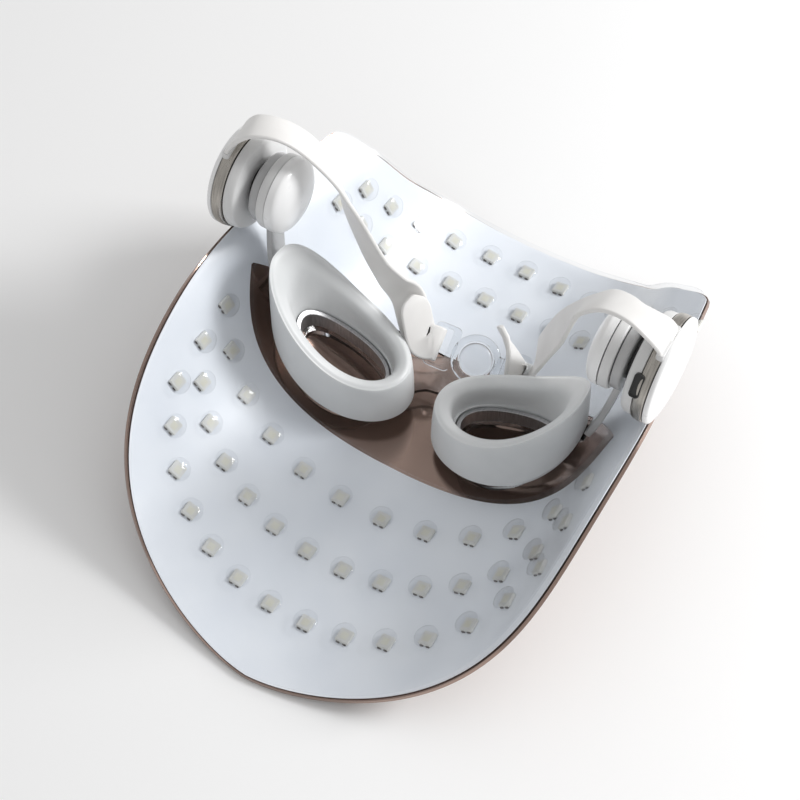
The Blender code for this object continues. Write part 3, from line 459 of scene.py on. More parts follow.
def loft(name, sections, material, closed=False):
    """A closed body through rings of points, with flat ends or joined end to end."""
    count = len(sections[0])
    faces = []
    for i in range(len(sections) if closed else len(sections) - 1):
        here, after = i * count, (i + 1) % len(sections) * count
        for j in range(count):
            k = (j + 1) % count
            faces.append((here + j, here + k, after + k, after + j))
    if not closed:
        last = (len(sections) - 1) * count
        faces.append(tuple(reversed(range(count))))
        faces.append(tuple(range(last, last + count)))
    return solid(name, [p for section in sections for p in section], faces, material)


def revolve(name, profile, origin, axis, material):
    """A body turned about an axis. The profile is (distance along the axis, radius) and is joined end to
    end unless both of its ends lie on the axis."""
    axis = Vector(axis).normalized()
    across = axis.orthogonal().normalized()
    third = axis.cross(across)
    verts, rings = [], []
    for along, radius in profile:
        centre = Vector(origin) + axis * along
        if radius <= 0:
            rings.append([len(verts)])
            verts.append(centre)
            continue
        rings.append(list(range(len(verts), len(verts) + TURN_STEPS)))
        for i in range(TURN_STEPS):
            a = 2 * math.pi * i / TURN_STEPS
            verts.append(centre + (across * math.cos(a) + third * math.sin(a)) * radius)
    pairs = list(zip(rings, rings[1:]))
    if len(rings[0]) > 1 or len(rings[-1]) > 1:
        pairs.append((rings[-1], rings[0]))
    faces = []
    for here, after in pairs:
        for i in range(TURN_STEPS):
            k = (i + 1) % TURN_STEPS
            if len(here) > 1 and len(after) > 1:
                faces.append((here[i], here[k], after[k], after[i]))
            elif len(here) > 1:
                faces.append((here[i], here[k], after[0]))
            elif len(after) > 1:
                faces.append((here[0], after[k], after[i]))
    return solid(name, verts, faces, material)


def rounded_rectangle(width, height, radius, corner_steps=4):
    """Outline points, counter-clockwise, centred on the origin."""
    points = []
    corners = ((1, 1, 0), (-1, 1, 90), (-1, -1, 180), (1, -1, 270))
    for x, y, start in corners:
        for i in range(corner_steps + 1):
            a = math.radians(start + 90 * i / corner_steps)
            points.append((x * (width / 2 - radius) + radius * math.cos(a),
                           y * (height / 2 - radius) + radius * math.sin(a)))
    return points


def ribbon(name, centres, widths, width, thick, material, shares, edge=BAND_EDGE):
    """A flat band with rounded edges along a centre line. Each share narrows the band's width."""
    centres = np.asarray(centres, float)
    tangents = np.gradient(centres, axis=0)
    sections = []
    for centre, tangent, across, share in zip(centres, tangents, widths, shares):
        tangent = tangent / np.linalg.norm(tangent)
        across = across - np.dot(across, tangent) * tangent
        across = across / np.linalg.norm(across)
        normal = np.cross(tangent, across)
        outline = rounded_rectangle(max(width * share, thick), thick, edge * thick)
        sections.append([centre + across * a + normal * n for a, n in outline])
    return loft(name, sections, material)


def tail_shares(centres):
    """Width shares that round a band's end over its last few millimetres."""
    lengths = np.linalg.norm(np.diff(np.asarray(centres, float), axis=0), axis=1)
    travelled = np.concatenate([[0], np.cumsum(lengths)])
    left = travelled[-1] - travelled
    into = np.clip(1 - left / TAIL_ROUND, 0, 1)
    return np.sqrt(np.maximum(1 - into**2, TAIL_LEAST))


def oval(half, centre, far_power=CUP_POWER):
    """Points of a superellipse in plan. Its quarter towards temple and forehead can be squarer."""
    points = []
    for i in range(OVAL_STEPS):
        t = 2 * math.pi * i / OVAL_STEPS
        c, s = math.cos(t), math.sin(t)
        power = 2 / (far_power if s > 0 and c > 0 else CUP_POWER)
        points.append((centre[0] + half[0] * math.copysign(abs(c) ** power, c),
                       centre[1] + half[1] * math.copysign(abs(s) ** power, s)))
    return points


# ---------------------------------------------------------------- the shield's surface


def tangent_angle(arc):
    u = np.asarray(arc) / ARC_UNIT
    angle = BEND[0] * u + BEND[1] * u**3 + BEND[2] * u**5
    angle = np.where(np.asarray(arc) > FLARE_ARC, np.maximum(angle, FLARE_ANGLE), angle)
    return np.where(np.asarray(arc) > FLAT_HALF_WIDTH, angle, 0.0)


ARCS = np.linspace(0, 125, 501)
ANGLES = tangent_angle(ARCS)
ARC_STEP = ARCS[1] - ARCS[0]
SECTION_X = np.concatenate([[0], np.cumsum((np.cos(ANGLES[1:]) + np.cos(ANGLES[:-1])) / 2 * ARC_STEP)])
SECTION_Z = np.concatenate([[0], np.cumsum((np.sin(ANGLES[1:]) + np.sin(ANGLES[:-1])) / 2 * ARC_STEP)])


def section_scale(y):
    return 1 - TAPER * y


def shell_normal(arc, y):
    x, z = np.interp(abs(arc), ARCS, SECTION_X), np.interp(abs(arc), ARCS, SECTION_Z)
    angle = float(np.interp(abs(arc), ARCS, ANGLES))
    lean = TAPER * (z * math.cos(angle) - x * math.sin(angle))
    normal = np.array([-math.sin(angle), lean, math.cos(angle)])
    return normal / np.linalg.norm(normal)


def shell_point(arc, y, offset=0.0):
    """A point on the shield's surface at a signed arc length, moved along the normal by the offset."""
    scale = section_scale(y)
    x, z = np.interp(abs(arc), ARCS, SECTION_X), np.interp(abs(arc), ARCS, SECTION_Z)
    point = np.array([x * scale, y, z * scale]) + offset * shell_normal(arc, y)
    point[0] *= -1 if arc < 0 else 1
    return point


def height_over(x, y, offset=0.0):
    """Height of the surface with this offset, above a place in plan."""
    scale = section_scale(y)
    arc = float(np.interp(abs(x) / scale, SECTION_X, ARCS))
    rise = float(np.interp(arc, ARCS, SECTION_Z)) * scale
    return rise + offset / math.cos(float(np.interp(arc, ARCS, ANGLES)))


TOP_CURVE = catmull(TOP_EDGE, 8)


def edge_low(arc, inset=0.0):
    arc = min(abs(arc) + inset, ARC_END)
    if arc > SIDE_ARC:
        return edge_low(SIDE_ARC) + SIDE_SLOPE * (arc - SIDE_ARC) + inset
    root = (1 - (arc / CHIN_ARC) ** CHIN_POWER) ** CHIN_ROUND
    return CHIN_TOP - CHIN_DEPTH * root + inset


def edge_high(arc, inset=0.0):
    return float(np.interp(min(abs(arc) + inset, ARC_END), TOP_CURVE[:, 0], TOP_CURVE[:, 1])) - inset


def window_low(arc):
    return WINDOW_LOW + WINDOW_LOW_RISE * (abs(arc) / WINDOW_ARC) ** WINDOW_LOW_POWER


def window_high(arc):
    return WINDOW_HIGH - WINDOW_HIGH_DROP * (abs(arc) / WINDOW_ARC) ** WINDOW_HIGH_POWER


def zone_limits(arc, inset):
    """The four y stations of a column: lower edge, the window's two edges and the upper edge."""
    low, high = edge_low(arc, inset), edge_high(arc, inset)
    if abs(arc) <= WINDOW_ARC:
        return low, window_low(arc), window_high(arc), high
    corner_low, corner_high = edge_low(WINDOW_ARC, inset), edge_high(WINDOW_ARC, inset)
    limits = [low]
    for edge in (window_low, window_high):
        share = (edge(WINDOW_ARC) - corner_low) / (corner_high - corner_low)
        limits.append(low + share * (high - low))
    return (*limits, high)


def sheet(name, layer, inset, window, material):
    """A sheet that follows the shield, with or without the eye window."""
    reach = ARC_END - inset
    columns = [reach * math.sin(math.pi * (i / SHEET_COLUMNS - 0.5)) for i in range(SHEET_COLUMNS + 1)]
    for target in (-WINDOW_ARC, WINDOW_ARC):
        nearest = min(range(len(columns)), key=lambda i: abs(columns[i] - target))
        columns[nearest] = target
    per_column = sum(ZONE_ROWS) + 1
    grid = []
    for arc in columns:
        limits = zone_limits(arc, inset)
        rows = [limits[0]]
        for zone, count in enumerate(ZONE_ROWS):
            span = limits[zone + 1] - limits[zone]
            rows += [limits[zone] + span * (i + 1) / count for i in range(count)]
        grid += [(arc, y) for y in rows]
    faces = []
    for i in range(len(columns) - 1):
        inside = window and max(abs(columns[i]), abs(columns[i + 1])) <= WINDOW_ARC + 0.001
        for row in range(per_column - 1):
            if inside and ZONE_ROWS[0] <= row < ZONE_ROWS[0] + ZONE_ROWS[1]:
                continue
            a = i * per_column + row
            faces.append((a, a + per_column, a + per_column + 1, a + 1))
    used = sorted({v for face in faces for v in face})
    number = {v: i for i, v in enumerate(used)}
    faces = [tuple(number[v] for v in face) for face in faces]
    return solid(name, *two_sided([grid[v] for v in used], faces, layer), material)


def two_sided(grid, faces, layer):
    """The surface at both offsets of a layer, joined round every edge."""
    count = len(grid)
    verts = [shell_point(arc, y, layer[0]) for arc, y in grid]
    verts += [shell_point(arc, y, layer[0] + layer[1]) for arc, y in grid]
    walls = {}
    for face in faces:
        for a, b in zip(face, face[1:] + face[:1]):
            if walls.pop((b, a), None) is None:
                walls[(a, b)] = True
    other_side = [tuple(count + v for v in reversed(face)) for face in faces]
    rim = [(b, a, count + a, count + b) for a, b in walls]
    return verts, faces + other_side + rim


# ---------------------------------------------------------------- shield, lining and LEDs


def build_shield():
    skin = soften(sheet("shield_skin", SHELL_LAYER, 0.0, False, "shell"), 0.3, 2, 50.0)
    dress(skin, "shield", "bronze_tint", "outer_shell")
    board = sheet("led_sheet", BOARD_LAYER, BOARD_INSET, True, "board")
    dress(board, "shield", "white_board", "led_board")
    liner = sheet("liner_sheet", LINER_LAYER, LINER_INSET, True, "liner")
    dress(liner, "shield", "clear_plastic", "inner_liner")


def led_places(count, pitch, shrink, curve):
    """Centre of each chip, with the surface's axes there: along the row, towards the forehead, outwards."""
    places = []
    for i in range(count):
        step = i - (count - 1) / 2
        arc = pitch * step * (1 - shrink * step**2)
        u = arc / ARC_UNIT
        y = curve[0] + curve[1] * u**2 + curve[2] * u**4
        at = arc / section_scale(y)
        centre = Vector(shell_point(at, y))
        along = (Vector(shell_point(at + 1, y)) - centre).normalized()
        out = Vector(shell_normal(at, y))
        out.x *= -1 if at < 0 else 1
        along = (along - along.dot(out) * out).normalized()
        places.append((centre, along, out.cross(along), out))
    return places


def add_block(build, spot, middle, size, index, rounding):
    """A block with rounded edges on the surface at a chip's place, in the mask's frame."""
    centre, along, up, out = spot
    made = bmesh.ops.create_cube(build, size=1)["verts"]
    bmesh.ops.scale(build, vec=size, verts=made)
    edges = list({e for v in made for e in v.link_edges})
    made = bmesh.ops.bevel(build, geom=edges, offset=rounding, segments=2, affect="EDGES")["verts"]
    made = list({v for f in {f for v in made for f in v.link_faces} for v in f.verts})
    turn = Matrix((along, up, out)).transposed()
    faces = {f for v in made for f in v.link_faces}
    for v in made:
        v.co = place(centre + turn @ (v.co + Vector(middle)))
    for f in faces:
        f.material_index = index


def build_leds():
    """Each row's chips, with their phosphor and painted shade at their chin-side edges, under the liner's
    bubbles.
    """
    height = CHIP_HIGH - CHIP_LOW
    for word, *row in LED_ROWS:
        spots = led_places(*row)
        build = bmesh.new()
        for spot in spots:
            middle = (0, 0, CHIP_LOW + height / 2)
            add_block(build, spot, middle, (CHIP_SIDE, CHIP_SIDE, height), 0, CHIP_ROUND)
            phosphor = (PHOSPHOR_SIDE, PHOSPHOR_SIDE, PHOSPHOR_THICK)
            add_block(build, spot, (0, 0, CHIP_HIGH), phosphor, 1, PHOSPHOR_ROUND)
            # Two near-black blocks past the chip's chin-side edge: painted shade where the chip's shadow
            # falls.
            for side in (LEFT, RIGHT):
                chip_shade = (side * SHADE_BLOCK_APART, -CHIP_SIDE / 2 - SHADE_BLOCK_PAST_CHIP, CHIP_LOW + SHADE_BLOCK_LIFT)
                add_block(build, spot, chip_shade, SHADE_BLOCK_SIZE, 2, SHADE_BLOCK_ROUND)
        mesh = bpy.data.meshes.new("led_row_" + word)
        build.to_mesh(mesh)
        build.free()
        chips = as_object("led_row_" + word, mesh, ["chip", "phosphor", "chip_shade"])
        dress(chips, "shield", "led_strip", "led_strip_" + word)
        dress(bubbles(word, spots), "shield", "clear_plastic")


def bubbles(word, spots):
    """Clear round blisters of the liner, one over each chip."""
    verts, faces = [], []
    for centre, along, up, out in spots:
        start = len(verts)
        for ring in range(DOME_RINGS):
            a = math.pi / 2 * ring / DOME_RINGS
            radius, height = BUBBLE_RADIUS * math.cos(a), BUBBLE_BASE + BUBBLE_HEIGHT * math.sin(a)
            for i in range(DOME_STEPS):
                t = 2 * math.pi * i / DOME_STEPS
                verts.append(centre + (along * math.cos(t) + up * math.sin(t)) * radius + out * height)
        verts.append(centre + out * (BUBBLE_BASE + BUBBLE_HEIGHT))
        for ring in range(DOME_RINGS - 1):
            for i in range(DOME_STEPS):
                k = (i + 1) % DOME_STEPS
                a, b = start + ring * DOME_STEPS, start + (ring + 1) * DOME_STEPS
                faces.append((a + i, a + k, b + k, b + i))
        last = start + (DOME_RINGS - 1) * DOME_STEPS
        faces += [(last + i, last + (i + 1) % DOME_STEPS, len(verts) - 1) for i in range(DOME_STEPS)]
        faces.append(tuple(start + i for i in reversed(range(DOME_STEPS))))
    return solid("liner_bubbles_" + word, verts, faces, "bubble")


# ---------------------------------------------------------------- temple pods


def on_axis(name, profile, side, material, rounding=0.3):
    """A body turned about the tilt axis, with softened edges."""
    made = revolve(name, profile, (0, PIVOT_Y, PIVOT_Z), (side, 0, 0), material)
    return soften(made, rounding, 3) if rounding else made


def build_pod(word, side):
    """Outer pod: cover, metal band, inner cap, a dark seam between them and the strap's gasket."""
    face_profile = [
        (FACE_TOP, 0), (FACE_TOP - 0.1, 6), (FACE_TOP - 0.35, 11), (FACE_TOP - 0.8, 14.8),
        (FACE_EDGE, POD_RADIUS - 0.6), (FACE_EDGE - 0.6, POD_RADIUS - 0.15),
        (FACE_BACK, POD_RADIUS - 0.1), (FACE_BACK, 0),
    ]
    if side == LEFT:
        face_profile = [(FACE_TOP, BUTTON_HOLE)] + face_profile[1:-1] + [(FACE_BACK, BUTTON_HOLE)]
    rim_profile = (
        (RIM_TOP, POD_RADIUS - 0.1), (RIM_TOP - 1.5, POD_RADIUS), (RIM_BACK + 0.6, POD_RADIUS - 0.3),
        (RIM_BACK, POD_RADIUS - 0.6), (RIM_BACK, POD_RADIUS - POD_WALL), (RIM_TOP, POD_RADIUS - POD_WALL),
    )
    cap_profile = (
        (CAP_TOP, CAP_RADIUS), (CAP_BACK + 1.6, CAP_RADIUS - 0.2),
        (CAP_BACK + 0.5, CAP_RADIUS - 0.8), (CAP_BACK, CAP_RADIUS - 2),
        (CAP_BACK, SHAFT_BORE), (CAP_BACK + 1.5, SHAFT_BORE),
        (CAP_BACK + 1.5, CAP_RADIUS - POD_WALL), (CAP_TOP, CAP_RADIUS - POD_WALL),
    )
    face = on_axis("pod_cover_" + word, face_profile, side, "white", 0.35)
    rim = on_axis("pod_band_" + word, rim_profile, side, "band", 0.25)
    cap = on_axis("pod_cap_" + word, cap_profile, side, "light_grey")
    dress(face, "shield", "white_plastic", "pod_face_" + word)
    dress(rim, "shield", "champagne_metal", "pod_rim_" + word)
    dress(cap, "shield", "light_grey_plastic", "pod_inner_cap_" + word)
    seam_profile = (
        (FACE_BACK + 0.2, POD_RADIUS - 1.1), (CAP_TOP - 0.2, CAP_RADIUS - 0.9),
        (CAP_TOP - 0.2, CAP_RADIUS - 1.9), (FACE_BACK + 0.2, POD_RADIUS - 2.1),
    )
    dress(on_axis("pod_seam_" + word, seam_profile, side, "black", 0), "shield", "black_plastic")
    root = (STRAP_RIGHT if side == RIGHT else STRAP_LEFT)[0][0]
    outline = rounded_rectangle(STRAP_THICK + GASKET_MARGIN, STRAP_WIDTH + GASKET_MARGIN, GASKET_ROUND)
    sections = [[(root[0] + x, root[1] + y, root[2] + rise) for x, y in outline] for rise in GASKET_SPAN]
    dress(soften(loft("strap_gasket_" + word, sections, "light_grey"), 0.2), "shield", "light_grey_plastic")


def build_inner_pod(word, side):
    """The goggles' pod, inside the outer one: base, rim and a hollow domed cover."""
    base_profile = (
        (INNER_BASE[0], INNER_BASE_RADIUS - 0.6), (INNER_BASE[0] - 0.6, INNER_BASE_RADIUS),
        (INNER_BASE[1], INNER_BASE_RADIUS), (INNER_BASE[1], SHAFT_BORE), (INNER_BASE[0], SHAFT_BORE),
    )
    rim_profile = (
        (INNER_RIM[0], INNER_RIM_RADIUS - 0.3), (INNER_RIM[0] - 0.8, INNER_RIM_RADIUS),
        (INNER_RIM[1], INNER_RIM_RADIUS), (INNER_RIM[1], INNER_RIM_RADIUS - 2.2),
        (INNER_RIM[0], INNER_RIM_RADIUS - 2.2),
    )
    bulge = []
    for degrees in np.linspace(90, 6, 22):
        a = math.radians(degrees)
        rise = (DOME_EDGE - 2 - DOME_TOP) * (1 - math.cos(a))
        bulge.append((DOME_TOP + rise, (DOME_RADIUS - 0.2) * math.sin(a)))
    hollow = [(station + DOME_WALL, radius * 0.9) for station, radius in reversed(bulge)]
    dome_profile = [(DOME_EDGE, DOME_RADIUS)] + bulge + [(DOME_TOP, 0), (DOME_TOP + DOME_WALL, 0)] + hollow
    dome_profile.append((DOME_EDGE, hollow[-1][1]))
    base = on_axis("head_pod_base_" + word, base_profile, side, "smoke", 0.4)
    rim = on_axis("head_pod_rim_" + word, rim_profile, side, "light_grey", 0.4)
    dome = on_axis("head_pod_dome_" + word, dome_profile, side, "white", 0)
    dress(base, "goggles", "grey_translucent", "inner_pod_base_" + word)
    dress(rim, "goggles", "light_grey_plastic", "inner_pod_rim_" + word)
    dress(dome, "goggles", "white_plastic", "inner_pod_dome_" + word)


def build_controls():
    """Charging port on the right pod's seam, and the power button in the left pod's cover."""
    angle = math.radians(PORT_ANGLE)
    outward = Vector((0, math.cos(angle), math.sin(angle)))
    along = Vector((0, math.sin(angle), -math.cos(angle)))
    middle = Vector((CAP_TOP + PORT_LIFT, PIVOT_Y, PIVOT_Z)) + outward * (POD_RADIUS - PORT_INSET)
    across = Vector((1, 0, 0))
    height, width, depth = PORT_SIZE
    # The mouth is a shallow recess whose black floor is painted shade for the dark depth of the socket.
    recess = depth / 2 - PORT_RECESS
    rings = []
    for inset, level in ((0, -depth / 2), (0, depth / 2), (PORT_WALL, depth / 2), (PORT_WALL, recess)):
        outline = rounded_rectangle(width - 2 * inset, height - 2 * inset, PORT_ROUND - inset)
        rings.append([middle + along * a + across * b + outward * level for a, b in outline])
    socket = soften(loft("port_shell", rings, "black"), 0.12, 2)
    dress(socket, "shield", "black_plastic", "usb_port")
    key_profile = (
        (BUTTON_TOP, 0), (BUTTON_TOP - 0.05, 2.2), (BUTTON_TOP - 0.3, 2.5), (BUTTON_TOP - 0.05, 2.8),
        (BUTTON_TOP, BUTTON_RADIUS - 0.6), (BUTTON_TOP - 0.5, BUTTON_RADIUS),
        (BUTTON_BACK, BUTTON_RADIUS), (BUTTON_BACK, 0),
    )
    key = on_axis("power_key_cap", key_profile, LEFT, "silver", 0.15)
    dress(key, "power_key", "silver_trim", "power_button")


# ---------------------------------------------------------------- goggles


def ridge_height(x):
    share = max(abs(x) - (CUP_CENTRE[0] - CUP_BASE[0]), 0) / (2 * CUP_BASE[0])
    return RIDGE_LOW + RIDGE_RISE * share**RIDGE_POWER


def cup_ring(half, height, side, far_power=CUP_POWER):
    return np.array([(side * x, y, height(x, y)) for x, y in oval(half, CUP_CENTRE, far_power)])


def through_rings(rings, steps):
    """More rings on smooth curves through the given ones."""
    flat = catmull([ring.ravel() for ring in rings], steps)
    return [row.reshape(-1, 3) for row in flat]


def build_cup(word, side):
    """Silicone eye cup with its contoured lip, and the bezel ring in its throat."""
    seat = FRAME_LAYER[0] + FRAME_LAYER[1] + CUP_CLEARANCE

    def base(x, y):
        return height_over(x, y, seat)

    def ridge(drop):
        return lambda x, y: ridge_height(x) - drop

    def part_way(share, drop):
        return lambda x, y: base(x, y) + share * (ridge_height(x) - drop - base(x, y))

    def shrunk(half, by):
        return tuple(r - by for r in half)

    halfway = tuple((a + b) / 2 + 0.2 for a, b in zip(CUP_BASE, CUP_RIDGE))
    inner = tuple((a + b) / 2 for a, b in zip(CUP_LIP, CUP_THROAT))
    foot = cup_ring(CUP_BASE, part_way(0.03, 0), side, CUP_FAR_POWER)
    skirt = [cup_ring(shrunk(CUP_BASE, 0.5), base, side, CUP_FAR_POWER), foot]
    wall = through_rings([
        foot,
        cup_ring(halfway, part_way(0.5, 1.6), side, CUP_FAR_POWER),
        cup_ring(CUP_RIDGE, ridge(1.6), side, CUP_FAR_POWER),
        cup_ring(shrunk(CUP_RIDGE, 0.9), ridge(0.3), side, CUP_FAR_POWER),
        cup_ring(shrunk(CUP_RIDGE, 2.6), ridge(0.0), side, CUP_FAR_POWER),
        cup_ring(CUP_LIP, ridge(2.6), side, CUP_FAR_POWER),
        cup_ring(inner, part_way(0.55, 2.6), side),
        cup_ring(CUP_THROAT, lambda x, y: base(x, y) + BEZEL_HEIGHT + 0.4, side),
    ], RING_STEPS)
    rings = skirt + wall[1:] + [cup_ring(CUP_THROAT, base, side)]
    cup = loft("cup_silicone_" + word, rings, "silicone_grey", closed=True)
    dress(cup, "goggles", "grey_silicone", "eye_cup_" + word)

    def top(drop):
        return lambda x, y: base(x, y) + BEZEL_HEIGHT - drop

    bezel = [
        cup_ring(BEZEL_OUTER, base, side), cup_ring(BEZEL_OUTER, top(0.0), side),
        cup_ring(BEZEL_INNER, top(0.0), side), cup_ring(BEZEL_INNER, top(1.1), side),
        cup_ring(tuple(r + 0.35 for r in BEZEL_INNER), top(1.3), side),
        cup_ring(tuple(r + 0.35 for r in BEZEL_INNER), base, side),
    ]
    ring = soften(loft("bezel_trim_" + word, bezel, "silver", closed=True), 0.2, 2)
    dress(ring, "goggles", "silver_trim", "bezel_ring_" + word)


def build_frame():
    """Clear goggle frame with a bridge and two eye holes."""
    high, low = catmull(FRAME_HIGH, 8), catmull(FRAME_LOW, 8)
    half_arc = FRAME_HIGH[-1][0]
    bottom, top = FRAME_LAYER[0], FRAME_LAYER[0] + FRAME_LAYER[1]
    sections = []
    for arc in np.linspace(-half_arc, half_arc, FRAME_STEPS + 1):
        y_high = float(np.interp(abs(arc), high[:, 0], high[:, 1]))
        y_low = float(np.interp(abs(arc), low[:, 0], low[:, 1]))
        corners = ((y_low, bottom), (y_high, bottom), (y_high, top), (y_low, top))
        sections.append([shell_point(arc / section_scale(y), y, h) for y, h in corners])
    plate = loft("goggle_plate", sections, "clear")
    hole = oval(EYE_HOLE, CUP_CENTRE)
    for _, side in SIDES:
        sections = [[(side * x, y, z) for x, y in hole] for z in HOLE_SPAN]
        plate = cut(plate, loft("cutter", sections, "clear"))
    dress(soften(plate, 0.35, 2, 60.0), "goggles", "clear_plastic", "goggle_frame")


def build_arm(word, side):
    path = catmull([(side * x, y, z) for x, y, z in ARM_PATH], 8)
    across = np.tile((0.0, 1.0, 0.0), (len(path), 1))
    even = np.ones(len(path))
    arm = ribbon("side_arm_" + word, path, across, ARM_WIDTH, ARM_THICK, "smoke", even, ARM_EDGE)
    dress(arm, "goggles", "grey_translucent", "temple_arm_" + word)


# ---------------------------------------------------------------- strap and buckle


def buckle_axes():
    face = Vector(BUCKLE_FACE).normalized()
    along = Vector(BUCKLE_ALONG)
    along = (along - along.dot(face) * face).normalized()
    return along, face.cross(along), face


def buckle_point(x, y, z):
    along, bars, face = buckle_axes()
    return Vector(BUCKLE_CENTRE) + along * x + bars * y + face * z


def strap_line(points, side, tail):
    """Centre line and width directions: pod to buckle bar, round the bar, and back as a tail."""
    bar, path = (-BAR_REACH, WRAP_LEFT) if side == LEFT else (BAR_REACH + LATCH_SHIFT, WRAP_RIGHT)
    wrap = [(bar + x, 0, z) for x, z in path]
    centres = [centre for centre, _ in points] + [tuple(buckle_point(*p)) for p in wrap] + [tail[0]]
    widths = [width for _, width in points] + [tuple(side * buckle_axes()[1])] * len(wrap) + [tail[1]]
    return catmull(centres, STRAP_STEPS), catmull(widths, STRAP_STEPS)


def build_strap(word, points, side, tail):
    centres, widths = strap_line(points, side, tail)
    band = ribbon("strap_band_" + word, centres, widths, STRAP_WIDTH, STRAP_THICK, "silicone_white",
                  tail_shares(centres))
    dress(band, "shield", "white_silicone", "strap_" + word)


def loop_frame(name, centre_x, window_x):
    """A rounded rectangular loop with a rounded window, lying in the buckle's plane."""
    outer = rounded_rectangle(LOOP_LENGTH, LOOP_WIDTH, LOOP_ROUND, LOOP_CORNER_STEPS)
    window = rounded_rectangle(LOOP_LENGTH - 2 * BAR_SIZE - LOOP_WINDOW_SHORT, STRAP_WIDTH + LOOP_WINDOW_GAP,
                               LOOP_WINDOW_ROUND, LOOP_CORNER_STEPS)
    half = LOOP_THICK / 2
    rings = []
    for outline, shift, level in ((outer, centre_x, -half), (outer, centre_x, half),
                                  (window, window_x, half), (window, window_x, -half)):
        rings.append([buckle_point(shift + x, y, level) for x, y in outline])
    return soften(loft(name, rings, "clear", closed=True), 0.5)


def bar_block(name, low_x, high_x, width, thick):
    """A flat bar along the buckle, with rounded edges."""
    outline = rounded_rectangle(width, thick, 0.35 * thick)
    rings = [[buckle_point(x, a, b) for a, b in outline] for x in (low_x, high_x)]
    return loft(name, rings, "clear")


def build_buckle():
    """Clear ring, the straps' two loops, the latch's tongue and the frosted press button."""
    loop_middle = BAR_REACH + BAR_SIZE / 2 - LOOP_LENGTH / 2
    face = tuple(buckle_axes()[2])
    half = RING_THICK / 2
    ring_profile = (
        (half - 0.5, RING_RADIUS - 0.1), (-half + 0.5, RING_RADIUS), (-half, RING_RADIUS - 0.5),
        (-half, RING_HOLE + 0.3), (-half + 0.4, RING_HOLE), (half - 0.4, RING_HOLE),
        (half, RING_HOLE + 0.4), (half, RING_RADIUS - 0.8),
    )
    ring = soften(revolve("buckle_ring", ring_profile, BUCKLE_CENTRE, face, "clear"), 0.25, 2, 25.0)
    dress(ring, "shield", "clear_plastic", "buckle_body")
    strap_loop = loop_frame("buckle_loop_left", -loop_middle, -loop_middle - LOOP_WINDOW_SHIFT)
    dress(strap_loop, "shield", "clear_plastic")
    latch_middle = loop_middle + LATCH_SHIFT
    latch_loop = loop_frame("buckle_loop_right", latch_middle, latch_middle + LOOP_WINDOW_SHIFT)
    dress(latch_loop, "shield", "clear_plastic", "buckle_latch")
    tongue_end = latch_middle - LOOP_LENGTH / 2 + TONGUE_LAP
    tongue = bar_block("buckle_tongue", RING_RADIUS - TONGUE_ROOT, tongue_end, TONGUE_WIDTH, TONGUE_THICK)
    dress(tongue, "shield", "clear_plastic")
    dome = [(KEY_TOP - KEY_BULGE * (1 - math.cos(a)), (BUCKLE_BUTTON_RADIUS - KEY_GAP) * math.sin(a))
            for a in np.linspace(0, math.pi / 2, KEY_RINGS)]
    profile = dome + [(KEY_BACK, BUCKLE_BUTTON_RADIUS), (KEY_BACK, 0)]
    key = soften(revolve("buckle_key_dome", profile, BUCKLE_CENTRE, face, "frost"), 0.2, 2, 50.0)
    dress(key, "buckle_key", "clear_plastic", "buckle_button")


# ---------------------------------------------------------------- pieces that stay as the CAD has them

PAIRED_FINISHES = {"pivot_shaft": "steel", "friction_washer": "black", "battery_cell": "wrap"}
SINGLE_FINISHES = {"control_board": "green", "button_switch": "black"}


def finish_cad_nodes():
    """Looks for the hidden parts, which keep their CAD shape."""
    finishes = dict(SINGLE_FINISHES)
    for word, _ in SIDES:
        finishes.update({f"{node}_{word}": key for node, key in PAIRED_FINISHES.items()})
    for node, key in finishes.items():
        for slot in frame["nodes"][node].material_slots:
            slot.material = MATERIALS[key]


# ---------------------------------------------------------------- floor, light and camera

CAMERA_PLACE = (0.1554, -0.2662, 0.4897)
CAMERA_TARGET = (-0.0118, 0.0151, 0.0024)
CAMERA_LENS = 72.0
LIGHT_TARGET = (0.0, 0.0, 0.03)
# Where each softbox is, in metres, with its size and its power in watts.
SOFTBOXES = {"key": ((0.75, 0.55, 0.60), 0.35, 9.0), "top": ((0.1, 0.5, 1.1), 0.8, 1.0)}
WORLD_STRENGTH = 0.56
FLOOR_HALF, FLOOR_DROP = 6.0, 0.0005


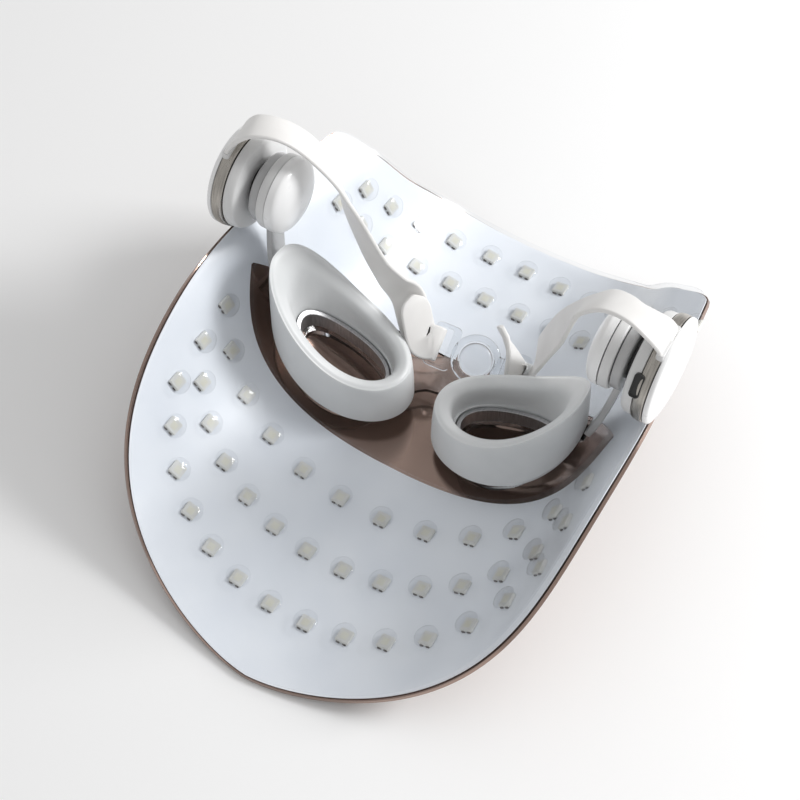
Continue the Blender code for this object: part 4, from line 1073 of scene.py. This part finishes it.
def aim(obj, target):
    direction = Vector(target) - obj.location
    obj.rotation_mode = "QUATERNION"
    obj.rotation_quaternion = direction.to_track_quat("-Z", "Y")


def softbox(name, where, size, power):
    lamp = bpy.data.lights.new(name, "AREA")
    lamp.energy = power
    lamp.size = size
    obj = bpy.data.objects.new(name, lamp)
    bpy.context.scene.collection.objects.link(obj)
    obj.location = where
    aim(obj, LIGHT_TARGET)


def build_stage():
    """White paper floor, an even white sky and two softboxes."""
    mesh = bpy.data.meshes.new("floor")
    corners = ((-1, -1), (1, -1), (1, 1), (-1, 1))
    mesh.from_pydata([(x * FLOOR_HALF, y * FLOOR_HALF, 0) for x, y in corners], [], [(0, 1, 2, 3)])
    floor = bpy.data.objects.new("floor", mesh)
    bpy.context.scene.collection.objects.link(floor)
    paper = new_material("paper", (0.93, 0.93, 0.93), 0.6)
    blend_colours(paper, noise(paper, 400.0), (0.92, 0.92, 0.92), (0.94, 0.94, 0.94))
    mesh.materials.append(paper)
    floor.location.z = -FLOOR_DROP
    world = bpy.data.worlds.new("studio")
    world.use_nodes = True
    background = world.node_tree.nodes["Background"]
    background.inputs["Color"].default_value = (1.0, 1.0, 1.0, 1.0)
    background.inputs["Strength"].default_value = WORLD_STRENGTH
    bpy.context.scene.world = world
    for name, setting in SOFTBOXES.items():
        softbox(name, *setting)
    bpy.context.scene.view_settings.view_transform = "Standard"


def build_camera():
    camera = bpy.data.cameras.new("camera")
    camera.lens = CAMERA_LENS
    camera.clip_start = 0.01
    obj = bpy.data.objects.new("camera", camera)
    bpy.context.scene.collection.objects.link(obj)
    obj.location = CAMERA_PLACE
    aim(obj, CAMERA_TARGET)
    bpy.context.scene.camera = obj


build_camera()
build_stage()
build_shield()
build_leds()
for word, side in SIDES:
    build_pod(word, side)
    build_inner_pod(word, side)
    build_cup(word, side)
    build_arm(word, side)
build_controls()
build_frame()
build_strap("left", STRAP_LEFT, LEFT, TAIL_LEFT)
build_strap("right", STRAP_RIGHT, RIGHT, TAIL_RIGHT)
build_buckle()
finish_cad_nodes()
